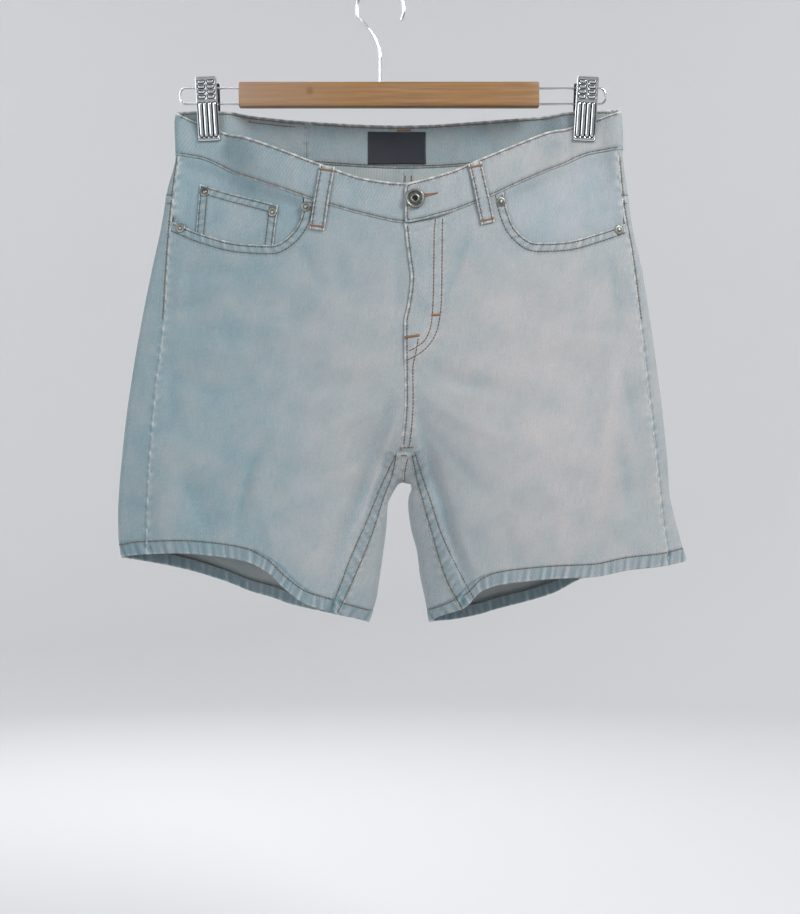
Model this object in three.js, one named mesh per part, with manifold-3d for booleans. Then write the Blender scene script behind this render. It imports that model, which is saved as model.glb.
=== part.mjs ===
import * as THREE from 'three';
import { mergeVertices } from 'three/addons/utils/BufferGeometryUtils.js';
import Module from 'manifold-3d';

// Five-pocket denim shorts, clipped at both sides of the waist to a wooden hanger with two sliding clips.
// Millimetres, +Z up. The front of the shorts faces -Y, and the wearer's right is at -X.
// The origin is the point inside the top of the hook that bears on whatever the hanger hangs from.
// The garment's tables are in its own frame: x from the centre front, z from the level of the clips'
// bite, y from the plane of the hanger, with the cloth in front of that plane or behind it.

const GARMENT_PLACE = { x: 18.1, y: 0, z: -114.4 };

const SEAM_GAP = 0.3;
const CLOTH = 1.2;
const HEM_DEPTH = 12.5;
const HEM_THICK = 2.8;
const HEM_STEP = 0.6;
const BAND = { out: 0.8, in: -2.2, pastCentre: 0.4, joinX: -88.7 };
const BAND_LAP = { under: 28, over: 31, ramp: 17, lift: 3.3 };
const FLY_LAP = { under: 12, over: 14, ramp: 12, lift: 1.5, foot: -232, head: -222, fade: 14 };
const FACING_RIGHT = { out: -3.2, in: -4.4 };
const FACING_LEFT = { out: -2.0, in: -3.2 };
const COIN_POCKET = { out: -1.6, in: -2.5 };
const BACK_POCKET = {
  out: 1.7, in: 0.5, centre: 98, halfTop: 66, halfFoot: 57, top: -128, foot: -252, point: 17,
};
const LABEL = { left: -30.7, right: 24.6, top: -14.5, foot: -44.8, out: -2.5, in: -3.1 };
const FOLD_RADIUS = 6;

// The crotch point, and the short seam above it where the four inner edges cross
const CROTCH = { x: 2.2, z: -346.3 };
const CROSSING_TOP = -315.5;
const CROSSING_FOOT = -318;
const LEAN_FROM = -262;
const EDGE_SHARE = 0.05;

// The heights between which the belly over the whole width parts into one for each leg
const LEGS = { from: -215, full: -335 };
const BELLY_POWER = 0.9;

// Where the clips' lips bite, and how their pinch fades out sideways and downwards
const LIP_X = { right: -176.8, left: 170.8 };
const PINCH = { depth: 2.5, half: 13.5, soft: 14, spread: 0.35, from: -31, to: -125 };

// The two outer folds of the hung garment, from the waist down to the hem
const OUTLINE = [
  { z: 6, right: -205.0, left: 203.5 },
  { z: -12, right: -209.0, left: 206.2 },
  { z: -40, right: -208.2, left: 207.0 },
  { z: -75, right: -216.4, left: 211.3 },
  { z: -108, right: -222.0, left: 216.0 },
  { z: -152, right: -231.5, left: 225.8 },
  { z: -197, right: -240.4, left: 232.8 },
  { z: -242, right: -248.2, left: 239.2 },
  { z: -286, right: -254.6, left: 244.7 },
  { z: -331, right: -259.4, left: 249.0 },
  { z: -354, right: -261.3, left: 250.3 },
  { z: -376, right: -262.3, left: 254.6 },
  { z: -398, right: -261.8, left: 260.5 },
  { z: -418, right: -258.6, left: 266.0 },
];

// The inner folds of the two legs, which meet at the crotch
const ARCH = [
  { z: -346.3, right: 2.2, left: 2.2 },
  { z: -347.2, right: -0.6, left: 8.3 },
  { z: -348.8, right: -2.2, left: 10.6 },
  { z: -352, right: -4.4, left: 10.6 },
  { z: -358, right: -7.7, left: 8.4 },
  { z: -366, right: -11.2, left: 7.5 },
  { z: -387, right: -12.6, left: 9.8 },
  { z: -413, right: -15.8, left: 16.2 },
  { z: -432, right: -18.6, left: 18.4 },
  { z: -452, right: -21.4, left: 22.6 },
  { z: -476, right: -28.8, left: 27.2 },
];

// How far the cloth bellies out before and behind the hanger's plane, at the widest of each height
const BELLY = [
  { z: 6, front: 34, back: 22 },
  { z: -40, front: 40, back: 25 },
  { z: -110, front: 40, back: 30 },
  { z: -200, front: 36, back: 34 },
  { z: -300, front: 31, back: 34 },
  { z: -480, front: 31, back: 29 },
];

// Seams that run down the garment: where each lies at a height
const SIDE_SEAM = [
  { z: -43, right: -204.6, left: 201.2 },
  { z: -90, right: -209.9, left: 205.6 },
  { z: -135, right: -213.2, left: 213.3 },
  { z: -196, right: -216.8, left: 221.0 },
  { z: -256, right: -223.9, left: 228.0 },
  { z: -321, right: -228.8, left: 235.5 },
  { z: -381, right: -231.5, left: 241.7 },
  { z: -420, right: -232.6, left: 247.2 },
];
const CENTRE_FRONT = [
  { z: -110, x: 3.6 },
  { z: -146, x: 7.8 },
  { z: -160, x: 9.6 },
  { z: -184, x: 6.9 },
  { z: -201, x: 3.6 },
  { z: -270, x: 4.1 },
  { z: -315.5, x: 0.6 },
];
const CENTRE_BACK = [
  { z: 0, x: 3.0 },
  { z: -300, x: 3.0 },
  { z: -346.3, x: 2.2 },
];
const CENTRE_BACK_BELOW = [
  { z: -318, x: 7.0 },
  { z: -334, x: 3.0 },
  { z: -346.3, x: 2.2 },
];
const INSEAM = [
  { z: -318, right: -1.4, left: 8.7 },
  { z: -337, right: -4.9, left: 12.6 },
  { z: -361, right: -13.8, left: 18.8 },
  { z: -392, right: -23.6, left: 27.6 },
  { z: -434, right: -40.7, left: 40.4 },
  { z: -465, right: -55.1, left: 57.0 },
];

// Edges and seams that run across it: their height at each distance from the centre
const WAIST_FRONT = [
  { x: -209, top: -3.0, seam: -42.5 },
  { x: -187, top: -12.3, seam: -45.5 },
  { x: -147, top: -27.2, seam: -63.9 },
  { x: -112, top: -40.8, seam: -77.9 },
  { x: -73, top: -56.6, seam: -92.2 },
  { x: -28, top: -71.6, seam: -105.4 },
  { x: 4, top: -75.2, seam: -111.5 },
  { x: 36, top: -68.0, seam: -104.8 },
  { x: 74, top: -51.9, seam: -90.3 },
  { x: 113, top: -34.6, seam: -71.7 },
  { x: 149, top: -19.5, seam: -53.7 },
  { x: 177, top: -10.4, seam: -41.6 },
  { x: 207, top: -1.0, seam: -37.0 },
];
const WAIST_BACK = [
  { x: -209, top: -0.5, seam: -42.0, yoke: -81 },
  { x: -169, top: -0.6, seam: -43.0, yoke: -87 },
  { x: -87, top: -5.6, seam: -45.0, yoke: -98 },
  { x: 3, top: -8.4, seam: -48.8, yoke: -113 },
  { x: 99, top: -3.8, seam: -44.6, yoke: -96 },
  { x: 160, top: -1.2, seam: -41.0, yoke: -87 },
  { x: 207, top: 2.0, seam: -38.0, yoke: -81 },
];
const YOKE_AT_SIDE = -82;
const HEM_RIGHT = [
  { x: -262, front: -415.5, back: -416.2 },
  { x: -235, front: -412.2, back: -421.4 },
  { x: -200, front: -410.8, back: -429.7 },
  { x: -165, front: -413.3, back: -441.0 },
  { x: -140, front: -417.7, back: -451.0 },
  { x: -121, front: -427.0, back: -456.5 },
  { x: -104, front: -443.2, back: -462.5 },
  { x: -86, front: -456.4, back: -466.5 },
  { x: -62, front: -464.9, back: -471.0 },
  { x: -28, front: -476.6, back: -476.6 },
];
const HEM_LEFT = [
  { x: 26, front: -476.4, back: -476.4 },
  { x: 44, front: -468.6, back: -476.1 },
  { x: 61, front: -459.2, back: -474.0 },
  { x: 75, front: -445.0, back: -471.6 },
  { x: 90, front: -439.2, back: -467.5 },
  { x: 113, front: -435.8, back: -462.0 },
  { x: 145, front: -433.2, back: -452.4 },
  { x: 176, front: -432.1, back: -436.8 },
  { x: 209, front: -426.2, back: -428.6 },
  { x: 240, front: -423.6, back: -423.0 },
  { x: 266, front: -419.0, back: -419.0 },
];

// The curved pocket mouths, from the waist seam to the side seam, and the hidden edge of each facing
const MOUTH_RIGHT = [
  { x: -86.5, z: -88.5 },
  { x: -89.6, z: -105.0 },
  { x: -99.0, z: -120.5 },
  { x: -116.0, z: -129.8 },
  { x: -146.4, z: -127.6 },
  { x: -181.3, z: -117.9 },
  { x: -210.3, z: -105.3 },
];
const MOUTH_LEFT = [
  { x: 93.8, z: -81.6 },
  { x: 97.6, z: -98.5 },
  { x: 105.5, z: -116.0 },
  { x: 124.0, z: -127.4 },
  { x: 148.2, z: -126.1 },
  { x: 184.3, z: -115.9 },
  { x: 207.2, z: -107.2 },
];
const FACING_FOOT = [
  { x: 74, z: -121 },
  { x: 90, z: -137 },
  { x: 118, z: -143.5 },
  { x: 150, z: -140 },
  { x: 182, z: -131 },
  { x: 212, z: -119 },
];

// The small pocket inside the right mouth
const COIN_CORNERS = {
  top: { outer: { x: -185.5, z: -69.5 }, inner: { x: -111.5, z: -93.5 } },
  foot: { outer: { x: -189.0, z: -124.5 }, inner: { x: -116.5, z: -137.5 } },
};

// Belt loops: where each strap's centre line starts above (x0, z0) and ends below, and its half width
const LOOPS = [
  { name: 'belt_loop_front_right', face: -1, x0: -65.4, z0: -59.8, x1: -75.0, z1: -117.0, half: 6.9 },
  { name: 'belt_loop_front_left', face: -1, x0: 67.0, z0: -56.4, x1: 79.6, z1: -111.0, half: 6.2 },
  { name: 'belt_loop_side_right', face: 1, x0: -116.0, z0: -3.6, x1: -119.0, z1: -61.5, half: 6.4 },
  { name: 'belt_loop_side_left', face: 1, x0: 119.0, z0: -3.0, x1: 122.0, z1: -61.0, half: 6.4 },
  { name: 'belt_loop_back', face: 1, x0: 3.0, z0: -8.6, x1: 3.0, z1: -67.0, half: 6.4 },
];
// A loop's clearance over the panel's face along its length: sewn at both ends, bowed over the band
const LOOP_BOW = [
  { t: 0, rise: 1.15 },
  { t: 0.12, rise: 1.5 },
  { t: 0.35, rise: 2.1 },
  { t: 0.62, rise: 1.7 },
  { t: 0.78, rise: 0.8 },
  { t: 1, rise: 0.5 },
];
const LOOP_THICK = 1.7;

// The shank button and the rivets, turned about the cloth's outward direction: each profile is in
// shares of the radius and of the thickness
const BUTTON = { x: 13.3, z: -89.9, radius: 8.7, thick: 3.2, rise: 4.4, sides: 20 };
const BUTTON_PROFILE = [
  { r: 0, h: 0 }, { r: 0.9, h: 0 }, { r: 1, h: 0.35 }, { r: 1, h: 0.7 }, { r: 0.93, h: 1 }, { r: 0.84, h: 1 },
  { r: 0.74, h: 0.78 }, { r: 0.42, h: 0.78 }, { r: 0.36, h: 0.9 }, { r: 0.28, h: 0.9 }, { r: 0.22, h: 0.5 },
  { r: 0, h: 0.5 },
];
const RIVET = { radius: 4.5, thick: 1.5, rise: 0.45, sides: 12 };
const RIVET_PROFILE = [
  { r: 0, h: 0 }, { r: 1, h: 0 }, { r: 1, h: 0.3 }, { r: 0.8, h: 0.6 }, { r: 0.5, h: 0.6 }, { r: 0.34, h: 1 },
  { r: 0, h: 1 },
];
const RIVETS = [
  { name: 'rivet_mouth_right_side', x: -202.4, z: -111.6, on: 0 },
  { name: 'rivet_mouth_right_front', x: -85.2, z: -96.0, on: 0 },
  { name: 'rivet_coin_side', x: -180.6, z: -77.2, on: COIN_POCKET.out },
  { name: 'rivet_coin_front', x: -116.2, z: -99.6, on: COIN_POCKET.out },
  { name: 'rivet_mouth_left_front', x: 91.4, z: -91.2, on: 0 },
  { name: 'rivet_mouth_left_side', x: 202.0, z: -113.0, on: 0 },
];

// Main creases of the hung cloth, each along a bowed line: deep is negative for a trough
const CREASES = [
  { face: -1, x0: 22, z0: -300, x1: 28, z1: -365, x2: 62, z2: -436, deep: -6, wide: 9 },
  { face: -1, x0: 63, z0: -121, x1: 50, z1: -146, x2: 42, z2: -180, deep: -3, wide: 9 },
  { face: -1, x0: 190, z0: -135, x1: 206, z1: -175, x2: 200, z2: -235, deep: -3, wide: 8 },
  { face: -1, x0: 206, z0: -205, x1: 192, z1: -290, x2: 184, z2: -372, deep: 4, wide: 13 },
  { face: -1, x0: 200, z0: -312, x1: 209, z1: -340, x2: 212, z2: -372, deep: -3, wide: 9 },
  { face: -1, x0: -118, z0: -304, x1: -142, z1: -330, x2: -148, z2: -392, deep: -3, wide: 11 },
  { face: -1, x0: -14, z0: -284, x1: -34, z1: -355, x2: -66, z2: -440, deep: -5, wide: 10 },
  { face: -1, x0: -198, z0: -340, x1: -184, z1: -365, x2: -170, z2: -392, deep: -3, wide: 13 },
  { face: -1, x0: -206, z0: -300, x1: -216, z1: -360, x2: -212, z2: -425, deep: 4, wide: 20 },
  { face: -1, x0: -222, z0: -188, x1: -200, z1: -186, x2: -172, z2: -176, deep: -2, wide: 9 },
  { face: 1, x0: -28, z0: -300, x1: -80, z1: -330, x2: -140, z2: -318, deep: -4, wide: 14 },
  { face: 1, x0: 34, z0: -298, x1: 92, z1: -330, x2: 150, z2: -314, deep: -4, wide: 14 },
  { face: 1, x0: -66, z0: -345, x1: -80, z1: -400, x2: -64, z2: -462, deep: -4, wide: 12 },
  { face: 1, x0: -150, z0: -330, x1: -164, z1: -390, x2: -152, z2: -440, deep: -3, wide: 14 },
  { face: 1, x0: 58, z0: -342, x1: 74, z1: -405, x2: 58, z2: -466, deep: -4, wide: 12 },
  { face: 1, x0: 172, z0: -300, x1: 186, z1: -370, x2: 176, z2: -428, deep: -3, wide: 14 },
];
const CREASE_STEPS = 8;
const CREASE_CLEAR = 16;
const CREASE_ENDS = 0.06;

// The grids that the cloth is built on: shares across a piece, shares down it, or steps from a fold
const FRONT_SHARES = [0.014, 0.035, 0.065, 0.105, 0.155, 0.22, 0.3];
const FRONT_ROWS = [
  0, 0.09, 0.18, 0.26, 'lapHead', 'lapFoot', 0.43, 0.52, 'crossingTop', 'crossingFoot', 0.69, 0.79, 0.89, 1,
];
const MOUTH_STEPS = 9;
const STRIP_SHARES = [1, 0.5, 0.17, 0.04];
const BACK_SHARES = [0.006, 0.022, 0.06, 0.13, 0.23, 0.35, 0.48, 0.6, 0.72, 0.83, 0.91, 0.965, 0.991, 1];
const YOKE_ROWS = [0, 0.33, 0.67, 1];
const ABOVE_CROTCH = [0, 0.13, 0.3, 0.47, 0.63, 0.77, 0.88, 0.95, 0.984, 0.997];
const BELOW_CROTCH = [0.014, 0.045, 0.11, 0.23, 0.41, 0.61, 0.81, 1];
const INSEAM_SHARES = [0, 0.1, 0.28, 0.52, 0.77, 1];
const INSEAM_ROWS = [-319, -324, -330, -336, -341, -344, -345.6];
const INSEAM_CURVE = { power: 1.8, within: 20 };
const BAND_STEPS = [0.8, 3, 6.5, 12, 20, 27, 36, 47, 56, 69, 86, 108, 132, 156, 180, 204, 228, 252, 276];
const BAND_STEPS_CLEAR = 10;
const BAND_ROWS = [0, 0.33, 0.67, 1];
const FACING_STEPS = 8;
const FACING_ROWS = [0, 0.25, 0.5, 0.75, 1];
const COIN_STEPS = 6;
const COIN_ROWS = [0, 0.25, 0.5, 0.75, 1];
const POCKET_STEPS = 7;
const LOOP_ROWS = 8;
const LABEL_STEPS = 5;
const LABEL_ROWS = [0, 0.5, 1];
const ARCH_STEPS = 48;
const ARCH_FOOT = -484;
const SETTLE_STEPS = 6;
const HEM_START = CROTCH.z - 1;
const PROBE = 0.02;
const FOLD_PROBE = 0.5;

// The hanger, in the origin's own frame: a wooden bar, a wire loop at each end of it, and the hook
const BAR = { right: -131.6, left: 147.4, top: -88.7, foot: -112.0, thick: 12, round: 2.5, corner: 1 };
const HOLE = { clear: 0.3, deeper: 1, past: 4 };
const WIRE = {
  radius: 1.0, upper: -94.2, lower: -108.7, right: -187.4, left: 210.1,
  corner: 5, seat: 8, steps: 44, sides: 6,
};
const HOOK = {
  radius: 1.4, x: 0, z: -20.6, bend: 22, from: 190, turn: 21.5, tip: -25, seat: -103, steps: 48, sides: 8,
};
const HOOK_STEM = [
  { x: 0, z: -103 },
  { x: 0, z: -84 },
  { x: 0, z: -66 },
  { x: -3.2, z: -52 },
  { x: -9.8, z: -39.9 },
  { x: -17.6, z: -31.0 },
];

// A clip, from the middle of its drum: heights along the jaws, and distances out from their plane
const CLIP = { z: -101.45, width: 20, tilt: 2.6, top: 14.9, foot: -42.2, lip: 3.6, mouth: 14.0, plate: 1.3 };
const CLIP_LIP = { deep: 1.4, high: 2.2, neck: 4.5 };
const CLIP_HEAD = { back: 0.6, rise: 0.8 };
const CLIP_DRUM = { half: 5.55, width: 15, sunk: 0.4 };
const FLUTE = { across: [-6.6, -2.2, 2.2, 6.6], z: -20.5, radius: 1.35, length: 34, sunk: 0.5, sides: 6 };
const BOSS = { across: [-4.4, 4.4], up: [0.6, 4.6, 8.6, 12.2], long: 3.5, high: 1.35, thick: 1.6, sides: 8 };
const PIN_SIDES = 12;

const COLOURS = {
  denim: { color: 0x9fb2ba, roughness: 0.92, metalness: 0 },
  denimDeep: { color: 0x8aa6b4, roughness: 0.92, metalness: 0 },
  label: { color: 0x1c2030, roughness: 0.75, metalness: 0 },
  nickel: { color: 0x8b8a82, roughness: 0.42, metalness: 0.9 },
  chrome: { color: 0xc9ccd0, roughness: 0.12, metalness: 1 },
  wood: { color: 0xc79a6b, roughness: 0.5, metalness: 0 },
};

const wasm = await Module();
wasm.setup();

const clamp = (t) => Math.min(1, Math.max(0, t));
const mix = (a, b, t) => a + (b - a) * t;

function smooth(from, to, t) {
  const s = clamp((t - from) / (to - from));
  return s * s * (3 - 2 * s);
}

// A smooth function through one column of a table, by the harmonic mean of the slopes, so that it never
// swings past its rows; beyond the table it runs on straight
function along(rows, key, value) {
  const sorted = [...rows].sort((a, b) => a[key] - b[key]);
  const at = sorted.map((row) => row[key]);
  const val = sorted.map((row) => row[value]);
  const last = at.length - 1;
  const slope = at.slice(1).map((a, i) => (val[i + 1] - val[i]) / (a - at[i]));
  const lean = at.map((_, i) => {
    if (i === 0) return slope[0];
    if (i === last) return slope[last - 1];
    const product = slope[i - 1] * slope[i];
    return product <= 0 ? 0 : (2 * product) / (slope[i - 1] + slope[i]);
  });
  return (t) => {
    if (t <= at[0]) return val[0] + (t - at[0]) * lean[0];
    if (t >= at[last]) return val[last] + (t - at[last]) * lean[last];
    let i = 0;
    while (t > at[i + 1]) i += 1;
    const h = at[i + 1] - at[i];
    const s = (t - at[i]) / h;
    const rise = s * s * (3 - 2 * s);
    return mix(val[i], val[i + 1], rise) + h * s * (1 - s) * (lean[i] * (1 - s) - lean[i + 1] * s);
  };
}

const HALVES = { right: -1, left: 1 };
const outline = { right: along(OUTLINE, 'z', 'right'), left: along(OUTLINE, 'z', 'left') };
const arch = { right: along(ARCH, 'z', 'right'), left: along(ARCH, 'z', 'left') };
const sideSeam = { right: along(SIDE_SEAM, 'z', 'right'), left: along(SIDE_SEAM, 'z', 'left') };
const inseam = { right: along(INSEAM, 'z', 'right'), left: along(INSEAM, 'z', 'left') };
const centreFront = along(CENTRE_FRONT, 'z', 'x');
const centreBack = along(CENTRE_BACK, 'z', 'x');
const centreBackBelow = along(CENTRE_BACK_BELOW, 'z', 'x');
const frontTop = along(WAIST_FRONT, 'x', 'top');
const frontSeam = along(WAIST_FRONT, 'x', 'seam');
const backTop = along(WAIST_BACK, 'x', 'top');
const backSeam = along(WAIST_BACK, 'x', 'seam');
const yokeSeam = along(WAIST_BACK, 'x', 'yoke');
const belly = { front: along(BELLY, 'z', 'front'), back: along(BELLY, 'z', 'back') };
const hem = {
  right: { front: along(HEM_RIGHT, 'x', 'front'), back: along(HEM_RIGHT, 'x', 'back') },
  left: { front: along(HEM_LEFT, 'x', 'front'), back: along(HEM_LEFT, 'x', 'back') },
};
const facingFoot = along(FACING_FOOT, 'x', 'z');
const loopBow = along(LOOP_BOW, 't', 'rise');

// Distance from a point of the front view to a bowed or broken line, and how far along it lies
function nearest(line, x, z) {
  let best = { distance: Infinity, t: 0 };
  for (let i = 0; i + 1 < line.length; i += 1) {
    const dx = line[i + 1].x - line[i].x;
    const dz = line[i + 1].z - line[i].z;
    const s = clamp(((x - line[i].x) * dx + (z - line[i].z) * dz) / (dx * dx + dz * dz));
    const distance = Math.hypot(x - line[i].x - s * dx, z - line[i].z - s * dz);
    if (distance < best.distance) best = { distance, t: (i + s) / (line.length - 1) };
  }
  return best;
}

const archLines = Object.values(arch).map((edge) => {
  const line = [];
  for (let i = 0; i <= ARCH_STEPS; i += 1) {
    const z = mix(CROTCH.z, ARCH_FOOT, (i / ARCH_STEPS) ** 2);
    line.push({ x: edge(z), z });
  }
  return line;
});

// Distance from the fold between the legs, negative in the open space between them
function fromArch(x, z) {
  const distance = Math.min(...archLines.map((line) => nearest(line, x, z).distance));
  const between = z < CROTCH.z && x > arch.right(z) && x < arch.left(z);
  return between ? -distance : distance;
}

// Distance from the nearest fold where the front turns into the back
function fromFold(x, z) {
  return Math.min(x - outline.right(z), outline.left(z) - x, fromArch(x, z));
}

const creaseLines = CREASES.map((crease) => {
  const line = [];
  for (let i = 0; i <= CREASE_STEPS; i += 1) {
    const t = i / CREASE_STEPS;
    line.push({
      x: mix(mix(crease.x0, crease.x1, t), mix(crease.x1, crease.x2, t), t),
      z: mix(mix(crease.z0, crease.z1, t), mix(crease.z1, crease.z2, t), t),
    });
  }
  return { ...crease, line };
});

function creaseDepth(face, x, z) {
  let sum = 0;
  for (const crease of creaseLines) {
    if (crease.face !== face) continue;
    const { distance, t } = nearest(crease.line, x, z);
    const fade = Math.sqrt(Math.sin(Math.PI * mix(CREASE_ENDS, 1 - CREASE_ENDS, t)));
    sum += crease.deep * fade * Math.exp(-((distance / crease.wide) ** 2));
  }
  return sum;
}

// How hard the clips press front and back together, from 0 to 1
function pinch(x, z) {
  const soft = PINCH.soft + Math.max(0, PINCH.from - z) * PINCH.spread;
  const grips = Object.values(LIP_X).map((clip) => {
    const beyond = Math.max(0, Math.abs(x - clip) - PINCH.half);
    return Math.exp(-((beyond / soft) ** 2));
  });
  return Math.max(...grips) * (1 - smooth(PINCH.from, PINCH.to, z));
}

// Depth of the front (face -1) or the back (face 1) from the hanger's plane: a quarter round at each
// fold, a belly over the whole width above that parts into one belly for each leg, the creases, and
// the clips' pinch
function depth(face, x, z) {
  const right = x - outline.right(z);
  const left = outline.left(z) - x;
  const width = right + left;
  const inner = Math.max(0, fromArch(x, z));
  const near = Math.max(0, Math.min(right, left, inner));
  const rolled = FOLD_RADIUS * Math.sqrt(1 - (1 - Math.min(1, near / FOLD_RADIUS)) ** 2);
  const over = Math.sin(Math.PI * clamp(right / width)) ** BELLY_POWER;
  const across = Math.max(0, (right * left) / width);
  const leg = Math.sin((Math.PI * across) / (across + inner + 1e-9)) ** BELLY_POWER;
  const swell = belly[face < 0 ? 'front' : 'back'](z) * mix(over, leg, smooth(LEGS.from, LEGS.full, z));
  const creased = creaseDepth(face, x, z) * smooth(0, CREASE_CLEAR, near);
  return mix(rolled + swell + creased, PINCH.depth, pinch(x, z));
}

// One sample of the cloth: its place, its outward direction, and where its outer and inner faces lie
// along that direction. face is -1 for the front, 1 for the back and 0 on a fold.
function sample(face, x, z, layer, lift = 0) {
  const normal = new THREE.Vector3();
  if (face === 0) {
    normal.set(
      fromFold(x - FOLD_PROBE, z) - fromFold(x + FOLD_PROBE, z),
      0,
      fromFold(x, z - FOLD_PROBE) - fromFold(x, z + FOLD_PROBE),
    );
  } else {
    normal.set(
      depth(face, x - PROBE, z) - depth(face, x + PROBE, z),
      2 * PROBE * face,
      depth(face, x, z - PROBE) - depth(face, x, z + PROBE),
    );
  }
  const place = new THREE.Vector3(x, face === 0 ? 0 : face * depth(face, x, z), z);
  return { place, normal: normal.normalize(), out: layer.out + lift, in: layer.in + lift };
}

// A closed wall over patches of samples: outer and inner faces, joined round every open edge. Patches
// that share a column are joined there.
function wall(patches) {
  const samples = [];
  const known = new Map();
  const number = (s) => {
    const key = s.place.toArray().map((v) => v.toFixed(3)).join();
    if (!known.has(key)) {
      known.set(key, samples.length);
      samples.push(s);
    }
    return known.get(key);
  };
  const faces = [];
  const addFace = (a, b, c) => {
    if (a === b || b === c || c === a) return;
    const edge1 = samples[b].place.clone().sub(samples[a].place);
    const edge2 = samples[c].place.clone().sub(samples[a].place);
    const outward = samples[a].normal.clone().add(samples[b].normal).add(samples[c].normal);
    faces.push(edge1.cross(edge2).dot(outward) > 0 ? [a, b, c] : [a, c, b]);
  };
  for (const patch of patches) {
    for (let i = 0; i + 1 < patch.length; i += 1) {
      for (let j = 0; j + 1 < patch[i].length; j += 1) {
        const corners = [patch[i][j], patch[i + 1][j], patch[i + 1][j + 1], patch[i][j + 1]].map(number);
        addFace(corners[0], corners[1], corners[2]);
        addFace(corners[0], corners[2], corners[3]);
      }
    }
  }
  const count = samples.length;
  const face = (level) => samples.flatMap((s) => {
    return s.place.clone().addScaledVector(s.normal, s[level]).toArray();
  });
  const edges = new Set(faces.flatMap(([a, b, c]) => [`${a},${b}`, `${b},${c}`, `${c},${a}`]));
  const index = faces.flatMap(([a, b, c]) => [a, b, c, a + count, c + count, b + count]);
  for (const edge of edges) {
    const [a, b] = edge.split(',').map(Number);
    if (edges.has(`${b},${a}`)) continue;
    index.push(b, a, a + count, b, a + count, b + count);
  }
  const geometry = new THREE.BufferGeometry();
  geometry.setAttribute('position', new THREE.Float32BufferAttribute([...face('out'), ...face('in')], 3));
  geometry.setIndex(index);
  return geometry;
}

// Rows of heights between two edges, and two more for the turned-up hem
function panelRows(shares) {
  const rows = shares.map((share) => ({ share, hem: 0 }));
  return [...rows, { share: 1, hem: HEM_STEP }, { share: 1, hem: HEM_DEPTH }];
}
const rowHeight = (row, top, foot) => mix(top, foot + HEM_DEPTH, row.share) - row.hem;
const rowLayer = (row) => ({ out: 0, in: row.hem > 0 ? -HEM_THICK : -CLOTH });

// The edge height under a column whose x itself depends on the height
function settle(xAt, heightAt, start = 0) {
  let z = start;
  for (let i = 0; i < SETTLE_STEPS; i += 1) z = heightAt(xAt(z));
  return z;
}

// The front panel's inner edge: the centre front with the fly's lap, then the crotch, then the inseam
function frontInner(half, z) {
  if (z <= CROSSING_FOOT) return inseam[half](z);
  if (z <= CROSSING_TOP) {
    const share = (z - CROSSING_FOOT) / (CROSSING_TOP - CROSSING_FOOT);
    return mix(inseam[half](CROSSING_FOOT), centreFront(CROSSING_TOP), share);
  }
  const under = half === 'right' ? FLY_LAP.under * smooth(FLY_LAP.foot, FLY_LAP.head, z) : 0;
  return centreFront(z) + under;
}

// Columns lean smoothly past the crotch, and only the first ones follow the lap and the short crossing
function frontLean(half, z) {
  if (z > LEAN_FROM) return centreFront(z);
  if (z < CROSSING_FOOT) return frontInner(half, z);
  return mix(centreFront(LEAN_FROM), inseam[half](CROSSING_FOOT), smooth(LEAN_FROM, CROSSING_FOOT, z));
}
const followsEdge = (share) => Math.max(0, 1 - share / EDGE_SHARE) ** 2;

function flyLift(x, z) {
  const beyond = x - centreFront(z) - FLY_LAP.over;
  const below = smooth(FLY_LAP.foot - FLY_LAP.fade, FLY_LAP.foot, z);
  return FLY_LAP.lift * (1 - smooth(0, FLY_LAP.ramp, beyond)) * below;
}

function frontPanel(half) {
  const sign = HALVES[half];
  const gap = SEAM_GAP / 2;
  const inner = (z) => frontInner(half, z) + sign * gap;
  const outer = (z) => sideSeam[half](z) - sign * gap;
  const lean = (z) => frontLean(half, z) + sign * gap;
  const across = (share) => (z) => mix(mix(lean(z), inner(z), followsEdge(share)), outer(z), share);
  const mouth = mouthCurve(half);
  const mouthStart = mouth.getPoint(0);
  const columns = [0, ...FRONT_SHARES].map((share) => {
    return { share, top: settle(across(share), frontSeam) - SEAM_GAP };
  });
  const shareAt = (p) => (p.x - lean(p.z)) / (outer(p.z) - lean(p.z));
  columns.push({ share: shareAt(mouthStart), top: frontSeam(mouthStart.x) - SEAM_GAP });
  for (let i = 1; i <= MOUTH_STEPS; i += 1) {
    const p = mouth.getPoint(i / MOUTH_STEPS);
    columns.push({ share: Math.min(1, shareAt(p)), top: p.z });
  }
  const innerFoot = settle(inner, hem[half].front, HEM_START) + HEM_DEPTH;
  const shareOf = (z) => (z - columns[0].top) / (innerFoot - columns[0].top);
  const fixed = {
    lapHead: shareOf(FLY_LAP.head),
    lapFoot: shareOf(FLY_LAP.foot),
    crossingTop: shareOf(CROSSING_TOP + gap),
    crossingFoot: shareOf(CROSSING_FOOT),
  };
  const rows = panelRows(FRONT_ROWS.map((row) => fixed[row] ?? row));
  const patch = columns.map(({ share, top }) => {
    const xAt = across(share);
    const foot = settle(xAt, hem[half].front, HEM_START);
    return rows.map((row) => {
      const z = rowHeight(row, top, foot);
      const lift = half === 'left' ? flyLift(xAt(z), z) : 0;
      return sample(-1, xAt(z), z, rowLayer(row), lift);
    });
  });
  return wall([patch]);
}

function mouthCurve(half) {
  const table = half === 'right' ? MOUTH_RIGHT : MOUTH_LEFT;
  const points = table.map((p) => new THREE.Vector3(p.x, 0, p.z));
  return new THREE.CatmullRomCurve3(points, false, 'centripetal');
}

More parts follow.
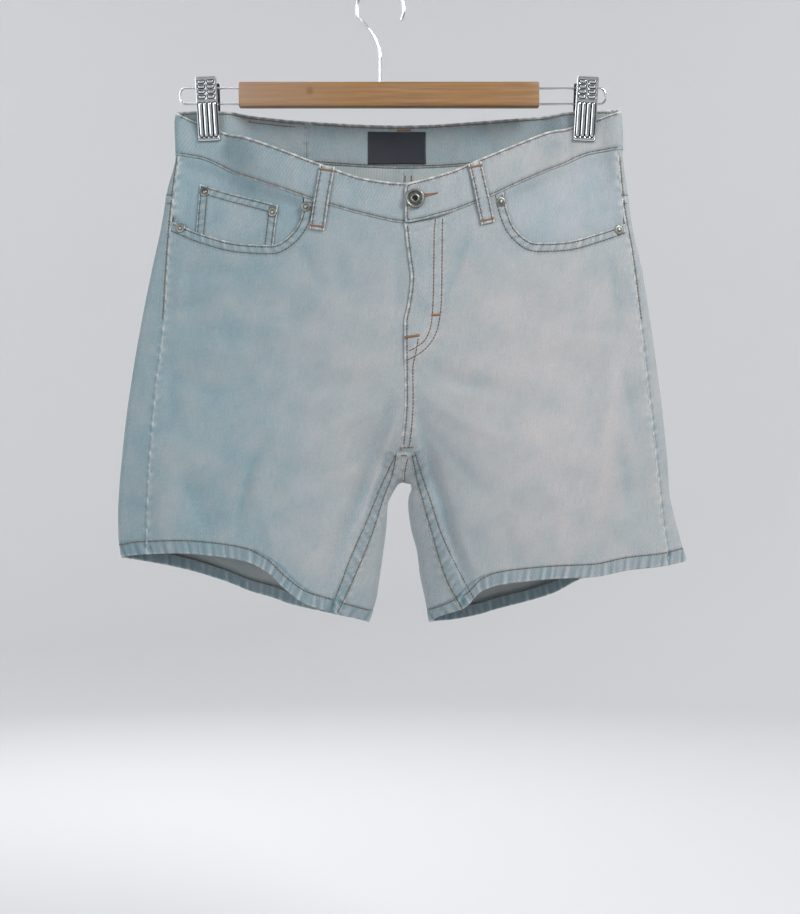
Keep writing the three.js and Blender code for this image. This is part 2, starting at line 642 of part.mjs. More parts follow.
// Columns round a half of the back: a strip on the front between the side seam and the outer fold,
// the fold itself, and the back to its centre or to the leg's inner fold
function aroundColumns(half) {
  const sign = HALVES[half];
  const gap = SEAM_GAP / 2;
  const strip = STRIP_SHARES.map((share) => ({
    face: -1,
    xAt: (z) => outline[half](z) + share * (sideSeam[half](z) + sign * gap - outline[half](z)),
  }));
  const fold = { face: 0, xAt: (z) => outline[half](z) };
  const back = BACK_SHARES.map((share) => ({
    face: 1,
    last: share === 1,
    xAt: (z) => {
      const end = z < CROTCH.z ? arch[half](z) : centreBack(z) + sign * gap;
      return mix(outline[half](z), end, share);
    },
  }));
  return [...strip, fold, ...back];
}

// An edge's height in a column: the front's, the back's, or between the two on the fold
const heightFor = (column, front, back) => {
  if (column.face < 0) return front;
  if (column.face > 0) return back;
  return (x) => (front(x) + back(x)) / 2;
};
const yokeAtSide = () => YOKE_AT_SIDE;

function yoke(half) {
  const gap = SEAM_GAP / 2;
  const patch = aroundColumns(half).map((column) => {
    const top = settle(column.xAt, heightFor(column, frontSeam, backSeam)) - gap;
    const foot = settle(column.xAt, heightFor(column, yokeAtSide, yokeSeam)) + gap;
    return YOKE_ROWS.map((share) => {
      const z = mix(top, foot, share);
      return sample(column.face, column.xAt(z), z, { out: 0, in: -CLOTH });
    });
  });
  return wall([patch]);
}

// The back panel wraps from the side seam round the outer fold and the back to the centre back, and
// below the crotch round the leg's inner fold to the inseam on the front
function backPanel(half) {
  const sign = HALVES[half];
  const gap = SEAM_GAP / 2;
  const columns = aroundColumns(half);
  const last = columns[columns.length - 1];
  const lastTop = yokeSeam(last.xAt(YOKE_AT_SIDE)) - gap;
  const lastFoot = settle(last.xAt, hem[half].back, HEM_START);
  const crotchShare = (CROTCH.z - lastTop) / (lastFoot + HEM_DEPTH - lastTop);
  const rows = panelRows([
    ...ABOVE_CROTCH.map((s) => s * crotchShare),
    crotchShare,
    ...BELOW_CROTCH.map((s) => mix(crotchShare, 1, s)),
  ]);
  const patch = columns.map((column) => {
    const top = settle(column.xAt, heightFor(column, yokeAtSide, yokeSeam)) - gap;
    const foot = settle(column.xAt, heightFor(column, hem[half].front, hem[half].back), HEM_START);
    return rows.map((row) => {
      const z = rowHeight(row, top, foot);
      const onFold = column.last && z <= CROTCH.z + 1e-6;
      return sample(onFold ? 0 : column.face, column.xAt(z), z, rowLayer(row));
    });
  });

  const foldRows = patch[patch.length - 1].slice(ABOVE_CROTCH.length);
  const foldLayers = rows.slice(ABOVE_CROTCH.length);
  const inseamFoot = settle((z) => inseam[half](z) - sign * gap, hem[half].front, HEM_START);
  const foldFoot = foldRows[foldRows.length - 1].place.z;
  const inner = INSEAM_SHARES.map((share, i) => {
    const above = INSEAM_ROWS.map((z) => {
      const start = centreBackBelow(z) + sign * gap;
      return sample(-1, mix(start, inseam[half](z) - sign * gap, share), z, { out: 0, in: -CLOTH });
    });
    const below = foldRows.map((foldSample, j) => {
      if (i === 0) return foldSample;
      const foldZ = foldSample.place.z;
      const down = clamp((foldZ - CROTCH.z) / (foldFoot - CROTCH.z));
      const z = foldZ + share * (inseamFoot - foldFoot) * down;
      const curved = share ** mix(1, INSEAM_CURVE.power, smooth(0, INSEAM_CURVE.within, CROTCH.z - foldZ));
      const x = mix(foldSample.place.x, inseam[half](z) - sign * gap, curved);
      return sample(-1, x, z, rowLayer(foldLayers[j]));
    });
    return [...above, ...below];
  });
  return wall([patch, inner]);
}

// Waistband: round each side from its end at the centre front to the join behind
function waistband(half) {
  const sign = HALVES[half];
  const gap = SEAM_GAP / 2;
  const centre = centreFront(frontSeam(0));
  const frontEnd = centre + (half === 'right' ? BAND_LAP.under : BAND.pastCentre);
  const backEnd = BAND.joinX + sign * gap;
  const columnsTo = (face, end) => {
    const length = Math.abs(outline[half](backSeam(end) / 2) - end);
    const steps = BAND_STEPS.filter((step) => step < length - BAND_STEPS_CLEAR);
    const columns = steps.map((step) => ({ face, xAt: (z) => outline[half](z) - sign * step }));
    return [...columns, { face, xAt: () => end }];
  };
  const columns = [
    ...columnsTo(-1, frontEnd).reverse(),
    { face: 0, xAt: (z) => outline[half](z) },
    ...columnsTo(1, backEnd),
  ];
  const patch = columns.map((column) => {
    const top = settle(column.xAt, heightFor(column, frontTop, backTop));
    const foot = settle(column.xAt, heightFor(column, frontSeam, backSeam)) + gap;
    return BAND_ROWS.map((share) => {
      const z = mix(top, foot, share);
      const x = column.xAt(z);
      const past = x - centre - BAND_LAP.over;
      const lapped = half === 'left' && column.face < 0;
      const lift = lapped ? BAND_LAP.lift * (1 - smooth(0, BAND_LAP.ramp, past)) : 0;
      return sample(column.face, x, z, BAND, lift);
    });
  });
  return wall([patch]);
}

function pocketFacing(half) {
  const sign = HALVES[half];
  const layer = half === 'right' ? FACING_RIGHT : FACING_LEFT;
  const patch = [];
  for (let i = 0; i <= FACING_STEPS; i += 1) {
    const share = i / FACING_STEPS;
    const xAt = (z) => mix(sign * FACING_FOOT[0].x, sideSeam[half](z) - sign * SEAM_GAP / 2, share);
    const top = settle(xAt, frontSeam) - SEAM_GAP;
    const foot = settle(xAt, (x) => facingFoot(Math.abs(x)));
    patch.push(FACING_ROWS.map((down) => {
      const z = mix(top, foot, down);
      return sample(-1, xAt(z), z, layer);
    }));
  }
  return wall([patch]);
}

function coinPocket() {
  const { top, foot } = COIN_CORNERS;
  const patch = [];
  for (let i = 0; i <= COIN_STEPS; i += 1) {
    const across = i / COIN_STEPS;
    const at = (row, axis) => mix(row.outer[axis], row.inner[axis], across);
    patch.push(COIN_ROWS.map((down) => {
      const x = mix(at(top, 'x'), at(foot, 'x'), down);
      const z = mix(at(top, 'z'), at(foot, 'z'), down);
      return sample(-1, x, z, COIN_POCKET);
    }));
  }
  return wall([patch]);
}

function backPocket(half) {
  const patch = [];
  for (let i = 0; i <= POCKET_STEPS; i += 1) {
    const across = mix(-1, 1, i / POCKET_STEPS);
    const row = [];
    for (let j = 0; j <= POCKET_STEPS; j += 1) {
      const down = j / POCKET_STEPS;
      const foot = BACK_POCKET.foot - BACK_POCKET.point * (1 - Math.abs(across));
      const halfWide = mix(BACK_POCKET.halfTop, BACK_POCKET.halfFoot, down);
      const x = HALVES[half] * BACK_POCKET.centre + across * halfWide;
      row.push(sample(1, x, mix(BACK_POCKET.top, foot, down), BACK_POCKET));
    }
    patch.push(row);
  }
  return wall([patch]);
}

function beltLoop({ face, x0, z0, x1, z1, half }) {
  const lean = (x1 - x0) / (z1 - z0);
  const patch = [-1, 0, 1].map((across) => {
    const column = [];
    for (let j = 0; j <= LOOP_ROWS; j += 1) {
      const t = j / LOOP_ROWS;
      const rise = loopBow(t);
      const x = mix(x0, x1, t) + across * half;
      const z = mix(z0, z1, t) - across * half * lean;
      column.push(sample(face, x, z, { out: rise + LOOP_THICK, in: rise }));
    }
    return column;
  });
  return wall([patch]);
}

function label() {
  const patch = [];
  for (let i = 0; i <= LABEL_STEPS; i += 1) {
    const x = mix(LABEL.left, LABEL.right, i / LABEL_STEPS);
    patch.push(LABEL_ROWS.map((down) => sample(1, x, mix(LABEL.top, LABEL.foot, down), LABEL)));
  }
  return wall([patch]);
}

// A round fastener on the front, turned about the cloth's outward direction
function fastener(profile, { radius, thick, sides }, x, z, rise) {
  const points = profile.map(({ r, h }) => new THREE.Vector2(r * radius, h * thick));
  const geometry = new THREE.LatheGeometry(points, sides);
  const { place, normal } = sample(-1, x, z, { out: 0, in: 0 });
  geometry.applyQuaternion(new THREE.Quaternion().setFromUnitVectors(new THREE.Vector3(0, 1, 0), normal));
  const at = place.addScaledVector(normal, rise);
  geometry.translate(at.x, at.y, at.z);
  return geometry;
}

function asManifold(geometry) {
  const bare = geometry.clone();
  bare.deleteAttribute('normal');
  bare.deleteAttribute('uv');
  const merged = mergeVertices(bare, 1e-4);
  return new wasm.Manifold(new wasm.Mesh({
    numProp: 3,
    vertProperties: new Float32Array(merged.attributes.position.array),
    triVerts: new Uint32Array(merged.index.array),
  }));
}

function fromManifold(solid) {
  const mesh = solid.getMesh();
  const geometry = new THREE.BufferGeometry();
  geometry.setAttribute('position', new THREE.Float32BufferAttribute(mesh.vertProperties, 3));
  geometry.setIndex([...mesh.triVerts]);
  return geometry;
}

function roundedRect(x0, z0, x1, z1, r) {
  const shape = new THREE.Shape();
  shape.moveTo(x0 + r, z0).lineTo(x1 - r, z0).absarc(x1 - r, z0 + r, r, -Math.PI / 2, 0);
  shape.lineTo(x1, z1 - r).absarc(x1 - r, z1 - r, r, 0, Math.PI / 2);
  shape.lineTo(x0 + r, z1).absarc(x0 + r, z1 - r, r, Math.PI / 2, Math.PI);
  shape.lineTo(x0, z0 + r).absarc(x0 + r, z0 + r, r, Math.PI, Math.PI * 1.5);
  return shape;
}

// A round bar from the x, z of one end to the other, lying in the hanger's plane
function pin(x0, z0, x1, z1, radius) {
  const geometry = new THREE.CylinderGeometry(radius, radius, Math.hypot(x1 - x0, z1 - z0), PIN_SIDES);
  geometry.rotateZ(Math.atan2(z1 - z0, x1 - x0) - Math.PI / 2);
  geometry.rotateX(Math.PI / 2);
  geometry.translate((x0 + x1) / 2, 0, (z0 + z1) / 2);
  return geometry;
}

// The bar, with a blind hole for each wire end and for the hook's stem
function hangerBar() {
  const { right, left, top, foot, thick, round, corner } = BAR;
  const flat = roundedRect(right + round, foot + round, left - round, top - round, corner);
  const geometry = new THREE.ExtrudeGeometry(flat, {
    depth: thick - 2 * round, curveSegments: 3,
    bevelEnabled: true, bevelThickness: round, bevelSize: round, bevelSegments: 3,
  });
  geometry.rotateX(Math.PI / 2);
  geometry.translate(0, thick / 2 - round, 0);
  let solid = asManifold(geometry);
  const bore = WIRE.radius + HOLE.clear;
  const deep = WIRE.seat + HOLE.deeper;
  for (const z of [WIRE.upper, WIRE.lower]) {
    solid = solid.subtract(asManifold(pin(right - HOLE.past, z, right + deep, z, bore)));
    solid = solid.subtract(asManifold(pin(left + HOLE.past, z, left - deep, z, bore)));
  }
  const stem = pin(HOOK.x, top + HOLE.past, HOOK.x, HOOK.seat - HOLE.deeper, HOOK.radius + HOLE.clear);
  return fromManifold(solid.subtract(asManifold(stem)));
}

function wireAlong(path, { radius, steps, sides }) {
  const section = new THREE.Shape();
  for (let i = 0; i < sides; i += 1) {
    const turn = (2 * Math.PI * i) / sides;
    if (i === 0) section.moveTo(radius * Math.cos(turn), radius * Math.sin(turn));
    else section.lineTo(radius * Math.cos(turn), radius * Math.sin(turn));
  }
  return new THREE.ExtrudeGeometry(section, { steps, extrudePath: path, bevelEnabled: false });
}

// The wire loop that a clip slides on: two rails that leave the bar's end and meet in a round end
function rail(half) {
  const sign = HALVES[half];
  const { upper, lower, corner } = WIRE;
  const start = BAR[half] - sign * WIRE.seat;
  const far = WIRE[half] - sign * WIRE.radius;
  const end = far - sign * corner;
  const at = (x, z) => new THREE.Vector3(x, 0, z);
  const path = new THREE.CurvePath();
  path.add(new THREE.LineCurve3(at(start, upper), at(end, upper)));
  path.add(new THREE.QuadraticBezierCurve3(at(end, upper), at(far, upper), at(far, upper - corner)));
  path.add(new THREE.LineCurve3(at(far, upper - corner), at(far, lower + corner)));
  path.add(new THREE.QuadraticBezierCurve3(at(far, lower + corner), at(far, lower), at(end, lower)));
  path.add(new THREE.LineCurve3(at(end, lower), at(start, lower)));
  return wireAlong(path, WIRE);
}

function hook() {
  const points = HOOK_STEM.map((p) => new THREE.Vector3(p.x, 0, p.z));
  for (let turn = HOOK.from; turn >= HOOK.tip; turn -= HOOK.turn) {
    const angle = (turn * Math.PI) / 180;
    const x = HOOK.x + HOOK.bend * Math.cos(angle);
    points.push(new THREE.Vector3(x, 0, HOOK.z + HOOK.bend * Math.sin(angle)));
  }
  return wireAlong(new THREE.CatmullRomCurve3(points, false, 'centripetal'), HOOK);
}

// A shape of the y, z plane drawn out to a width along x
function slab(points, width) {
  const shape = new THREE.Shape(points.map(([y, z]) => new THREE.Vector2(y, z)));
  const geometry = new THREE.ExtrudeGeometry(shape, { depth: width, bevelEnabled: false });
  const axes = [new THREE.Vector3(0, 1, 0), new THREE.Vector3(0, 0, 1), new THREE.Vector3(1, 0, 0)];
  geometry.applyMatrix4(new THREE.Matrix4().makeBasis(...axes));
  geometry.translate(-width / 2, 0, 0);
  return asManifold(geometry);
}

// A sprung clip: two jaws that lean together at the lips, joined by the drum between the rails, with
// flutes and small oval bosses on the outside of each jaw
function clip(half) {
  const { top, foot, lip, mouth, plate, width } = CLIP;
  const inner = (z) => mix(lip, mouth, (z - foot) / (top - foot));
  const bead = lip + plate + CLIP_LIP.deep;
  const neck = foot + CLIP_LIP.neck;
  const profile = [
    [lip, foot],
    [bead, foot],
    [bead, foot + CLIP_LIP.high],
    [inner(neck) + plate, neck],
    [mouth + plate, top],
    [mouth + plate - CLIP_HEAD.back, top + CLIP_HEAD.rise],
    [mouth, top],
  ];
  const reach = inner(CLIP_DRUM.half) + CLIP_DRUM.sunk;
  const up = CLIP_DRUM.half;
  let solid = slab([[-reach, -up], [reach, -up], [reach, up], [-reach, up]], CLIP_DRUM.width);
  const lean = Math.atan2(mouth - lip, top - foot);
  for (const side of [-1, 1]) {
    const jaw = profile.map(([y, z]) => [side * y, z]);
    solid = solid.add(slab(side > 0 ? jaw : jaw.reverse(), width));
    const onPlate = (geometry, x, z, sunk) => {
      geometry.rotateX(-side * lean);
      geometry.translate(x, side * (inner(z) + plate - sunk), z);
      return asManifold(geometry);
    };
    for (const x of FLUTE.across) {
      const flute = new THREE.CylinderGeometry(FLUTE.radius, FLUTE.radius, FLUTE.length, FLUTE.sides);
      flute.rotateX(Math.PI / 2);
      solid = solid.add(onPlate(flute, x, FLUTE.z, FLUTE.sunk));
    }
    for (const x of BOSS.across) {
      for (const z of BOSS.up) {
        const boss = new THREE.CylinderGeometry(1, 1, BOSS.thick, BOSS.sides);
        boss.scale(BOSS.long, 1, BOSS.high);
        solid = solid.add(onPlate(boss, x, z, 0));
      }
    }
  }
  const geometry = fromManifold(solid);
  geometry.translate(0, 0, -foot);
  geometry.rotateY((HALVES[half] * CLIP.tilt * Math.PI) / 180);
  geometry.translate(LIP_X[half] + GARMENT_PLACE.x, 0, CLIP.z + foot);
  return geometry;
}

const shorts = new THREE.Group();
const garment = new THREE.Group();
garment.position.set(GARMENT_PLACE.x, GARMENT_PLACE.y, GARMENT_PLACE.z);
const hanger = new THREE.Group();
shorts.add(garment, hanger);

function add(group, name, geometry, finish) {
  const mesh = new THREE.Mesh(geometry, new THREE.MeshStandardMaterial(COLOURS[finish]));
  mesh.name = name;
  group.add(mesh);
}

for (const half of ['right', 'left']) {
  add(garment, `front_${half}`, frontPanel(half), 'denim');
  add(garment, `back_${half}`, backPanel(half), 'denim');
  add(garment, `yoke_${half}`, yoke(half), 'denim');
  add(garment, `waistband_${half}`, waistband(half), 'denim');
  add(garment, `pocket_facing_${half}`, pocketFacing(half), 'denimDeep');
  add(garment, `back_pocket_${half}`, backPocket(half), 'denim');
}
add(garment, 'coin_pocket', coinPocket(), 'denimDeep');
for (const loop of LOOPS) add(garment, loop.name, beltLoop(loop), 'denim');
add(garment, 'label', label(), 'label');
add(garment, 'button', fastener(BUTTON_PROFILE, BUTTON, BUTTON.x, BUTTON.z, BUTTON.rise), 'nickel');
for (const { name, x, z, on } of RIVETS) {
  add(garment, name, fastener(RIVET_PROFILE, RIVET, x, z, on + RIVET.rise), 'nickel');
}

add(hanger, 'hanger_bar', hangerBar(), 'wood');
add(hanger, 'hook', hook(), 'chrome');
for (const half of ['right', 'left']) {
  add(hanger, `rail_${half}`, rail(half), 'chrome');
  add(hanger, `clip_${half}`, clip(half), 'chrome');
}

export default shorts;
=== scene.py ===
import math
import bpy
import numpy as np
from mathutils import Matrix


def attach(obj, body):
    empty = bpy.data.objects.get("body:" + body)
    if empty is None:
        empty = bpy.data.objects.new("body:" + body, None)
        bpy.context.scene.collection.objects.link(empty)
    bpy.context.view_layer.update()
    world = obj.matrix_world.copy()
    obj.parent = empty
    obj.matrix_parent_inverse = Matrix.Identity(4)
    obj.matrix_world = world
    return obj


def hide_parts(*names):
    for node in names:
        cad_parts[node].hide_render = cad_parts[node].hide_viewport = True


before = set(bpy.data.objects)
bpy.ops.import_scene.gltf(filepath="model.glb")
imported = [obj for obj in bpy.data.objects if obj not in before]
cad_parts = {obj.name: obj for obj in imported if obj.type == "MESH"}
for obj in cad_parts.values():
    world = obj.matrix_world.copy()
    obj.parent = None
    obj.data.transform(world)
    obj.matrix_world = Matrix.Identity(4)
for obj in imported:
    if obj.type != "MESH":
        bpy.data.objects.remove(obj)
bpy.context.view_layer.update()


# The two front panels, cut from bleached denim with the warp down each leg, with a curved pocket mouth, a
# turned-up hem and a felled inseam. They hang from the waistband and turn in at the sides. Lengths are in
# millimetres: x from the centre front, z from the clips' bite, y from the hanger's plane.
GARMENT_AT = np.array([18.1, 0.0, -114.4])
FRONT, FOLD, BACK = -1, 0, 1
SIGN = {"right": -1, "left": 1}
CLOTH = 1.2
SEAM_GAP = 0.03
HEM_DEPTH = 12.5
HEM_THICK = 2.8


def mix(a, b, share):
    return a + (b - a) * share


def smooth(start, end, t):
    """An S curve from 0 at start to 1 at end."""
    s = np.clip((t - start) / (end - start), 0, 1)
    return s * s * (3 - 2 * s)


def curve(at, values):
    """A smooth function through points. Its slope at each is the harmonic mean of the slopes beside it, so
    it never swings past them, and beyond its ends it runs on straight."""
    order = np.argsort(at)
    at, values = np.array(at, float)[order], np.array(values, float)[order]
    step = np.diff(at)
    slope = np.diff(values) / step
    before, after = slope[:-1], slope[1:]
    same = before * after > 0
    lean = np.append(np.insert(np.zeros(len(at) - 2), 0, slope[0]), slope[-1])
    lean[1:-1] = np.where(same, 2 * before * after / np.where(same, before + after, 1), 0)

    def value(t):
        t = np.asarray(t, float)
        i = np.clip(np.searchsorted(at, t) - 1, 0, len(step) - 1)
        s = np.clip((t - at[i]) / step[i], 0, 1)
        bend = step[i] * s * (1 - s) * (lean[i] * (1 - s) - lean[i + 1] * s)
        inside = mix(values[i], values[i + 1], s * s * (3 - 2 * s)) + bend
        beyond = np.minimum(t - at[0], 0) * lean[0] + np.maximum(t - at[-1], 0) * lean[-1]
        return inside + beyond
    return value


def to_line(line, x, z):
    """Distance from each point to a bent line, and how far along the line its nearest place lies."""
    best = np.full(np.shape(x), 1e9)
    along = np.zeros(np.shape(x))
    run = 0.0
    for (x0, z0), (x1, z1) in zip(line[:-1], line[1:]):
        dx, dz = x1 - x0, z1 - z0
        size = math.hypot(dx, dz)
        s = np.clip(((x - x0) * dx + (z - z0) * dz) / size ** 2, 0, 1)
        far = np.hypot(x - x0 - s * dx, z - z0 - s * dz)
        along = np.where(far < best, run + s * size, along)
        best = np.minimum(far, best)
        run += size
    return best, along


OUTLINE_Z = (6, -12, -40, -75, -108, -152, -197, -242, -286, -331, -354, -376, -398, -418)
outline = {
    "right": curve(OUTLINE_Z, (-205, -209, -208.2, -216.4, -222, -231.5, -240.4, -248.2, -254.6, -259.4,
                               -261.3, -262.3, -261.8, -258.6)),
    "left": curve(OUTLINE_Z, (203.5, 206.2, 207, 211.3, 216, 225.8, 232.8, 239.2, 244.7, 249, 250.3, 254.6,
                              260.5, 266)),
}
CROTCH_Z = -346.3
ARCH_Z = (-346.3, -347.2, -348.8, -352, -358, -366, -387, -413, -432, -452, -476)
arch = {
    "right": curve(ARCH_Z, (2.2, -0.6, -2.2, -4.4, -7.7, -11.2, -12.6, -15.8, -18.6, -21.4, -28.8)),
    "left": curve(ARCH_Z, (2.2, 8.3, 10.6, 10.6, 8.4, 7.5, 9.8, 16.2, 18.4, 22.6, 27.2)),
}
arch_z = mix(CROTCH_Z, -484, np.linspace(0, 1, 49) ** 2)
arch_lines = [np.column_stack([arch[half](arch_z), arch_z]) for half in SIGN]
BELLY_Z = (6, -40, -110, -200, -300, -480)
belly = {FRONT: curve(BELLY_Z, (34, 40, 40, 36, 31, 31)), BACK: curve(BELLY_Z, (22, 25, 30, 34, 34, 29))}
FOLD_RADIUS = 6.0
LIPS = (-176.8, 170.8)

# Creases of the hung cloth, each a bowed line through three points: face, the points, depth and width.
# The first ones are the main folds, and the shallow ones after them are drag lines and wash creases.
CREASES = [
    (FRONT, (17, -290), (31, -350), (62, -440), -5, 6.5), (FRONT, (63, -121), (50, -146), (42, -180), -3, 8),
    (FRONT, (190, -135), (206, -175), (200, -235), -3, 8),
    (FRONT, (206, -205), (192, -290), (184, -372), 4, 13),
    (FRONT, (200, -312), (209, -340), (212, -372), -3, 9),
    (FRONT, (-118, -304), (-142, -330), (-148, -392), -3.4, 6.5),
    (FRONT, (-9, -272), (-32, -350), (-66, -440), -4.6, 6.5),
    (FRONT, (-198, -340), (-184, -365), (-170, -392), -3, 13),
    (FRONT, (-206, -300), (-216, -360), (-212, -425), 4, 20),
    (FRONT, (-222, -188), (-200, -186), (-172, -176), -2, 9),
    (BACK, (-28, -300), (-80, -330), (-140, -318), -4, 14),
    (BACK, (34, -298), (92, -330), (150, -314), -4, 14),
    (BACK, (-66, -345), (-80, -400), (-64, -462), -4, 12),
    (BACK, (-150, -330), (-164, -390), (-152, -440), -3, 14),
    (BACK, (58, -342), (74, -405), (58, -466), -4, 12),
    (BACK, (172, -300), (186, -370), (176, -428), -3, 14),
    (FRONT, (66, -128), (58, -156), (40, -196), 1.2, 6),
    (FRONT, (22, -236), (60, -262), (118, -268), -1.1, 8),
    (FRONT, (16, -262), (52, -292), (96, -306), 1.0, 7),
    (FRONT, (12, -282), (44, -318), (72, -352), -1.2, 6),
    (FRONT, (-6, -240), (-48, -258), (-92, -262), -1.0, 8),
    (FRONT, (-4, -268), (-40, -290), (-86, -304), 0.9, 7),
    (FRONT, (-8, -292), (-32, -322), (-60, -338), -1.0, 6),
    (FRONT, (-30, -370), (-52, -398), (-62, -428), 1.6, 5),
    (FRONT, (40, -372), (56, -396), (66, -424), 1.7, 5),
    (FRONT, (-206, -150), (-168, -158), (-120, -150), -1.0, 8),
    (FRONT, (-196, -214), (-160, -230), (-124, -228), 0.9, 9),
    (FRONT, (-214, -244), (-190, -262), (-158, -264), -1.2, 9),
    (FRONT, (-132, -352), (-116, -384), (-112, -420), 1.2, 7),
    (FRONT, (-170, -300), (-186, -322), (-190, -352), 1.0, 8),
    (FRONT, (92, -380), (104, -404), (106, -430), -1.2, 7),
    (FRONT, (142, -350), (150, -384), (146, -420), 1.1, 8),
    (FRONT, (216, -300), (226, -340), (228, -388), -1.2, 7),
    (FRONT, (150, -210), (180, -222), (212, -216), 0.9, 8),
    (FRONT, (104, -150), (118, -180), (112, -214), -0.9, 9),
    (FRONT, (-92, -142), (-104, -172), (-98, -206), -0.8, 9),
    (BACK, (10, -262), (48, -284), (96, -288), 1.2, 8), (BACK, (-6, -266), (-44, -290), (-92, -294), 1.1, 8),
    (BACK, (18, -320), (40, -350), (48, -392), -1.6, 7),
    (BACK, (-14, -322), (-34, -352), (-42, -396), -1.6, 7),
    (BACK, (190, -230), (206, -262), (204, -306), -1.5, 8),
    (BACK, (-186, -236), (-204, -268), (-200, -310), -1.4, 8),
    (BACK, (110, -362), (118, -398), (112, -436), 1.4, 8),
    (BACK, (-108, -350), (-118, -392), (-112, -438), 1.4, 8),
    (BACK, (214, -352), (224, -388), (222, -416), 1.3, 7),
    (BACK, (-212, -348), (-222, -380), (-220, -408), 1.3, 7),
    (BACK, (60, -270), (92, -280), (132, -272), -0.9, 7),
    (BACK, (-58, -272), (-90, -282), (-130, -274), -0.9, 7),
    (FRONT, (24, -119), (27, -143), (27, -177), -1.5, 3.2),
    (FRONT, (26, -181), (22, -194), (17, -206), -1.4, 3.2),
    (FRONT, (8, -119), (15, -120), (23, -117), -0.8, 3),
    (FRONT, (-2, -128), (-3, -165), (-4, -204), -1.4, 5),
    (FRONT, (-1, -280), (-12, -316), (-36, -376), 1.6, 5),
    (FRONT, (9, -280), (17, -316), (30, -350), 1.4, 5),
    (FRONT, (18, -248), (50, -261), (92, -254), -1.1, 8),
    (FRONT, (172, -58), (174, -90), (169, -122), -1.4, 5),
    (FRONT, (184, -60), (186, -80), (182, -100), -1.2, 4),
    (FRONT, (196, -64), (197, -84), (192, -104), 0.9, 4),
    (FRONT, (152, -70), (154, -92), (150, -112), 0.7, 6),
    (FRONT, (52, -132), (46, -160), (43, -190), 1.0, 4),
    (FRONT, (-198, -140), (-206, -176), (-204, -214), 1.3, 6),
    (FRONT, (-208, -226), (-214, -262), (-206, -300), -1.4, 7),
    (FRONT, (-92, -128), (-84, -150), (-70, -168), -0.9, 6),
    (FRONT, (-62, -124), (-52, -150), (-50, -184), -0.8, 7),
    (FRONT, (-176, -64), (-168, -86), (-172, -112), -0.9, 5),
    (FRONT, (200, -238), (216, -262), (214, -300), -1.6, 6),
    (FRONT, (30, -70), (34, -86), (30, -102), -0.7, 5),
    (FRONT, (-150, -36), (-142, -48), (-146, -62), -0.6, 6),
    (FRONT, (54, -66), (60, -80), (56, -96), 0.6, 5), (FRONT, (-46, -72), (-40, -88), (-46, -102), -0.6, 5),
    (FRONT, (106, -44), (100, -58), (104, -74), -0.6, 5),
    (FRONT, (-98, -52), (-92, -66), (-98, -80), 0.6, 5),
    (BACK, (-60, -12), (-56, -28), (-60, -42), -0.7, 5), (BACK, (52, -12), (56, -28), (52, -42), -0.7, 5),
    (BACK, (-150, -8), (-146, -24), (-150, -38), 0.6, 6), (BACK, (88, -10), (84, -24), (88, -40), 0.7, 5),
]
crease_lines = []
for crease_face, *points, deep, wide in CREASES:
    bow = np.linspace(0, 1, 9)[:, None]
    first, middle, last = np.array(points, float)
    line = mix(mix(first, middle, bow), mix(middle, last, bow), bow)
    crease_lines.append((crease_face, line, deep, wide))


def fold_distance(x, z):
    """How far a point of the front view lies inside the right fold, the left fold and the legs' inner fold,
    the last negative in the open space between the legs."""
    inner = np.minimum(to_line(arch_lines[0], x, z)[0], to_line(arch_lines[1], x, z)[0])
    between = (z < CROTCH_Z) & (x > arch["right"](z)) & (x < arch["left"](z))
    return x - outline["right"](z), outline["left"](z) - x, np.where(between, -inner, inner)


def creased(face, x, z, tight=1.0):
    """The sum of one face's creases, each highest on its line and fading out beside it and at its ends."""
    total = np.zeros(x.shape)
    for crease_face, line, deep, wide in crease_lines:
        if crease_face == face:
            far, along = to_line(line, x, z)
            share = along / np.hypot(*np.diff(line, axis=0).T).sum()
            fade = np.sin(np.pi * mix(0.04, 0.96, share)) ** 0.7
            total += deep * fade * np.exp(-((far / (wide * tight)) ** 2))
    return total


def depth(face, x, z):
    """How far the cloth lies from the hanger's plane. A quarter round at each fold, a belly over the whole
    width that parts into one for each leg lower down, the creases, a faint unevenness, and the pinch of
    the clips, which press front and back together."""
    right, left, inner = fold_distance(x, z)
    inner = np.maximum(0, inner)
    near = np.maximum(0, np.minimum(np.minimum(right, left), inner))
    rolled = FOLD_RADIUS * np.sqrt(1 - (1 - np.minimum(1, near / FOLD_RADIUS)) ** 2)
    over = np.sin(np.pi * np.clip(right / (right + left), 0, 1)) ** 0.9
    across = np.maximum(0, right * left / (right + left))
    leg = np.sin(np.pi * across / (across + inner + 1e-9)) ** 0.9
    swell = belly[face](z) * mix(over, leg, smooth(-215, -335, z))
    uneven = 0.5 * np.sin(x / 11.3 + z / 17.1 + face) * np.sin(z / 13.7 - x / 29.0)
    uneven += 0.35 * np.sin(x / 6.1 - z / 9.3 + 2 * face) * np.sin(z / 23.0 + x / 15.0)
    uneven = uneven + creased(face, x, z)
    soft = 14 + np.maximum(0, -31 - z) * 0.35
    grip = [np.exp(-((np.maximum(0, np.abs(x - lip) - 13.5) / soft) ** 2)) for lip in LIPS]
    pinch = np.maximum(*grip) * (1 - smooth(-31, -125, z))
    return mix(rolled + swell + uneven * smooth(0, 16, near), 2.5, pinch)


def surface(face, x, z):
    """Points of the hung cloth, before it for the front, behind it for the back and in it on a fold."""
    y = np.zeros(x.shape)
    for side in (FRONT, BACK):
        here = face == side
        if here.any():
            y[here] = side * depth(side, x[here], z[here])
    return np.stack([x, y, z], axis=-1)


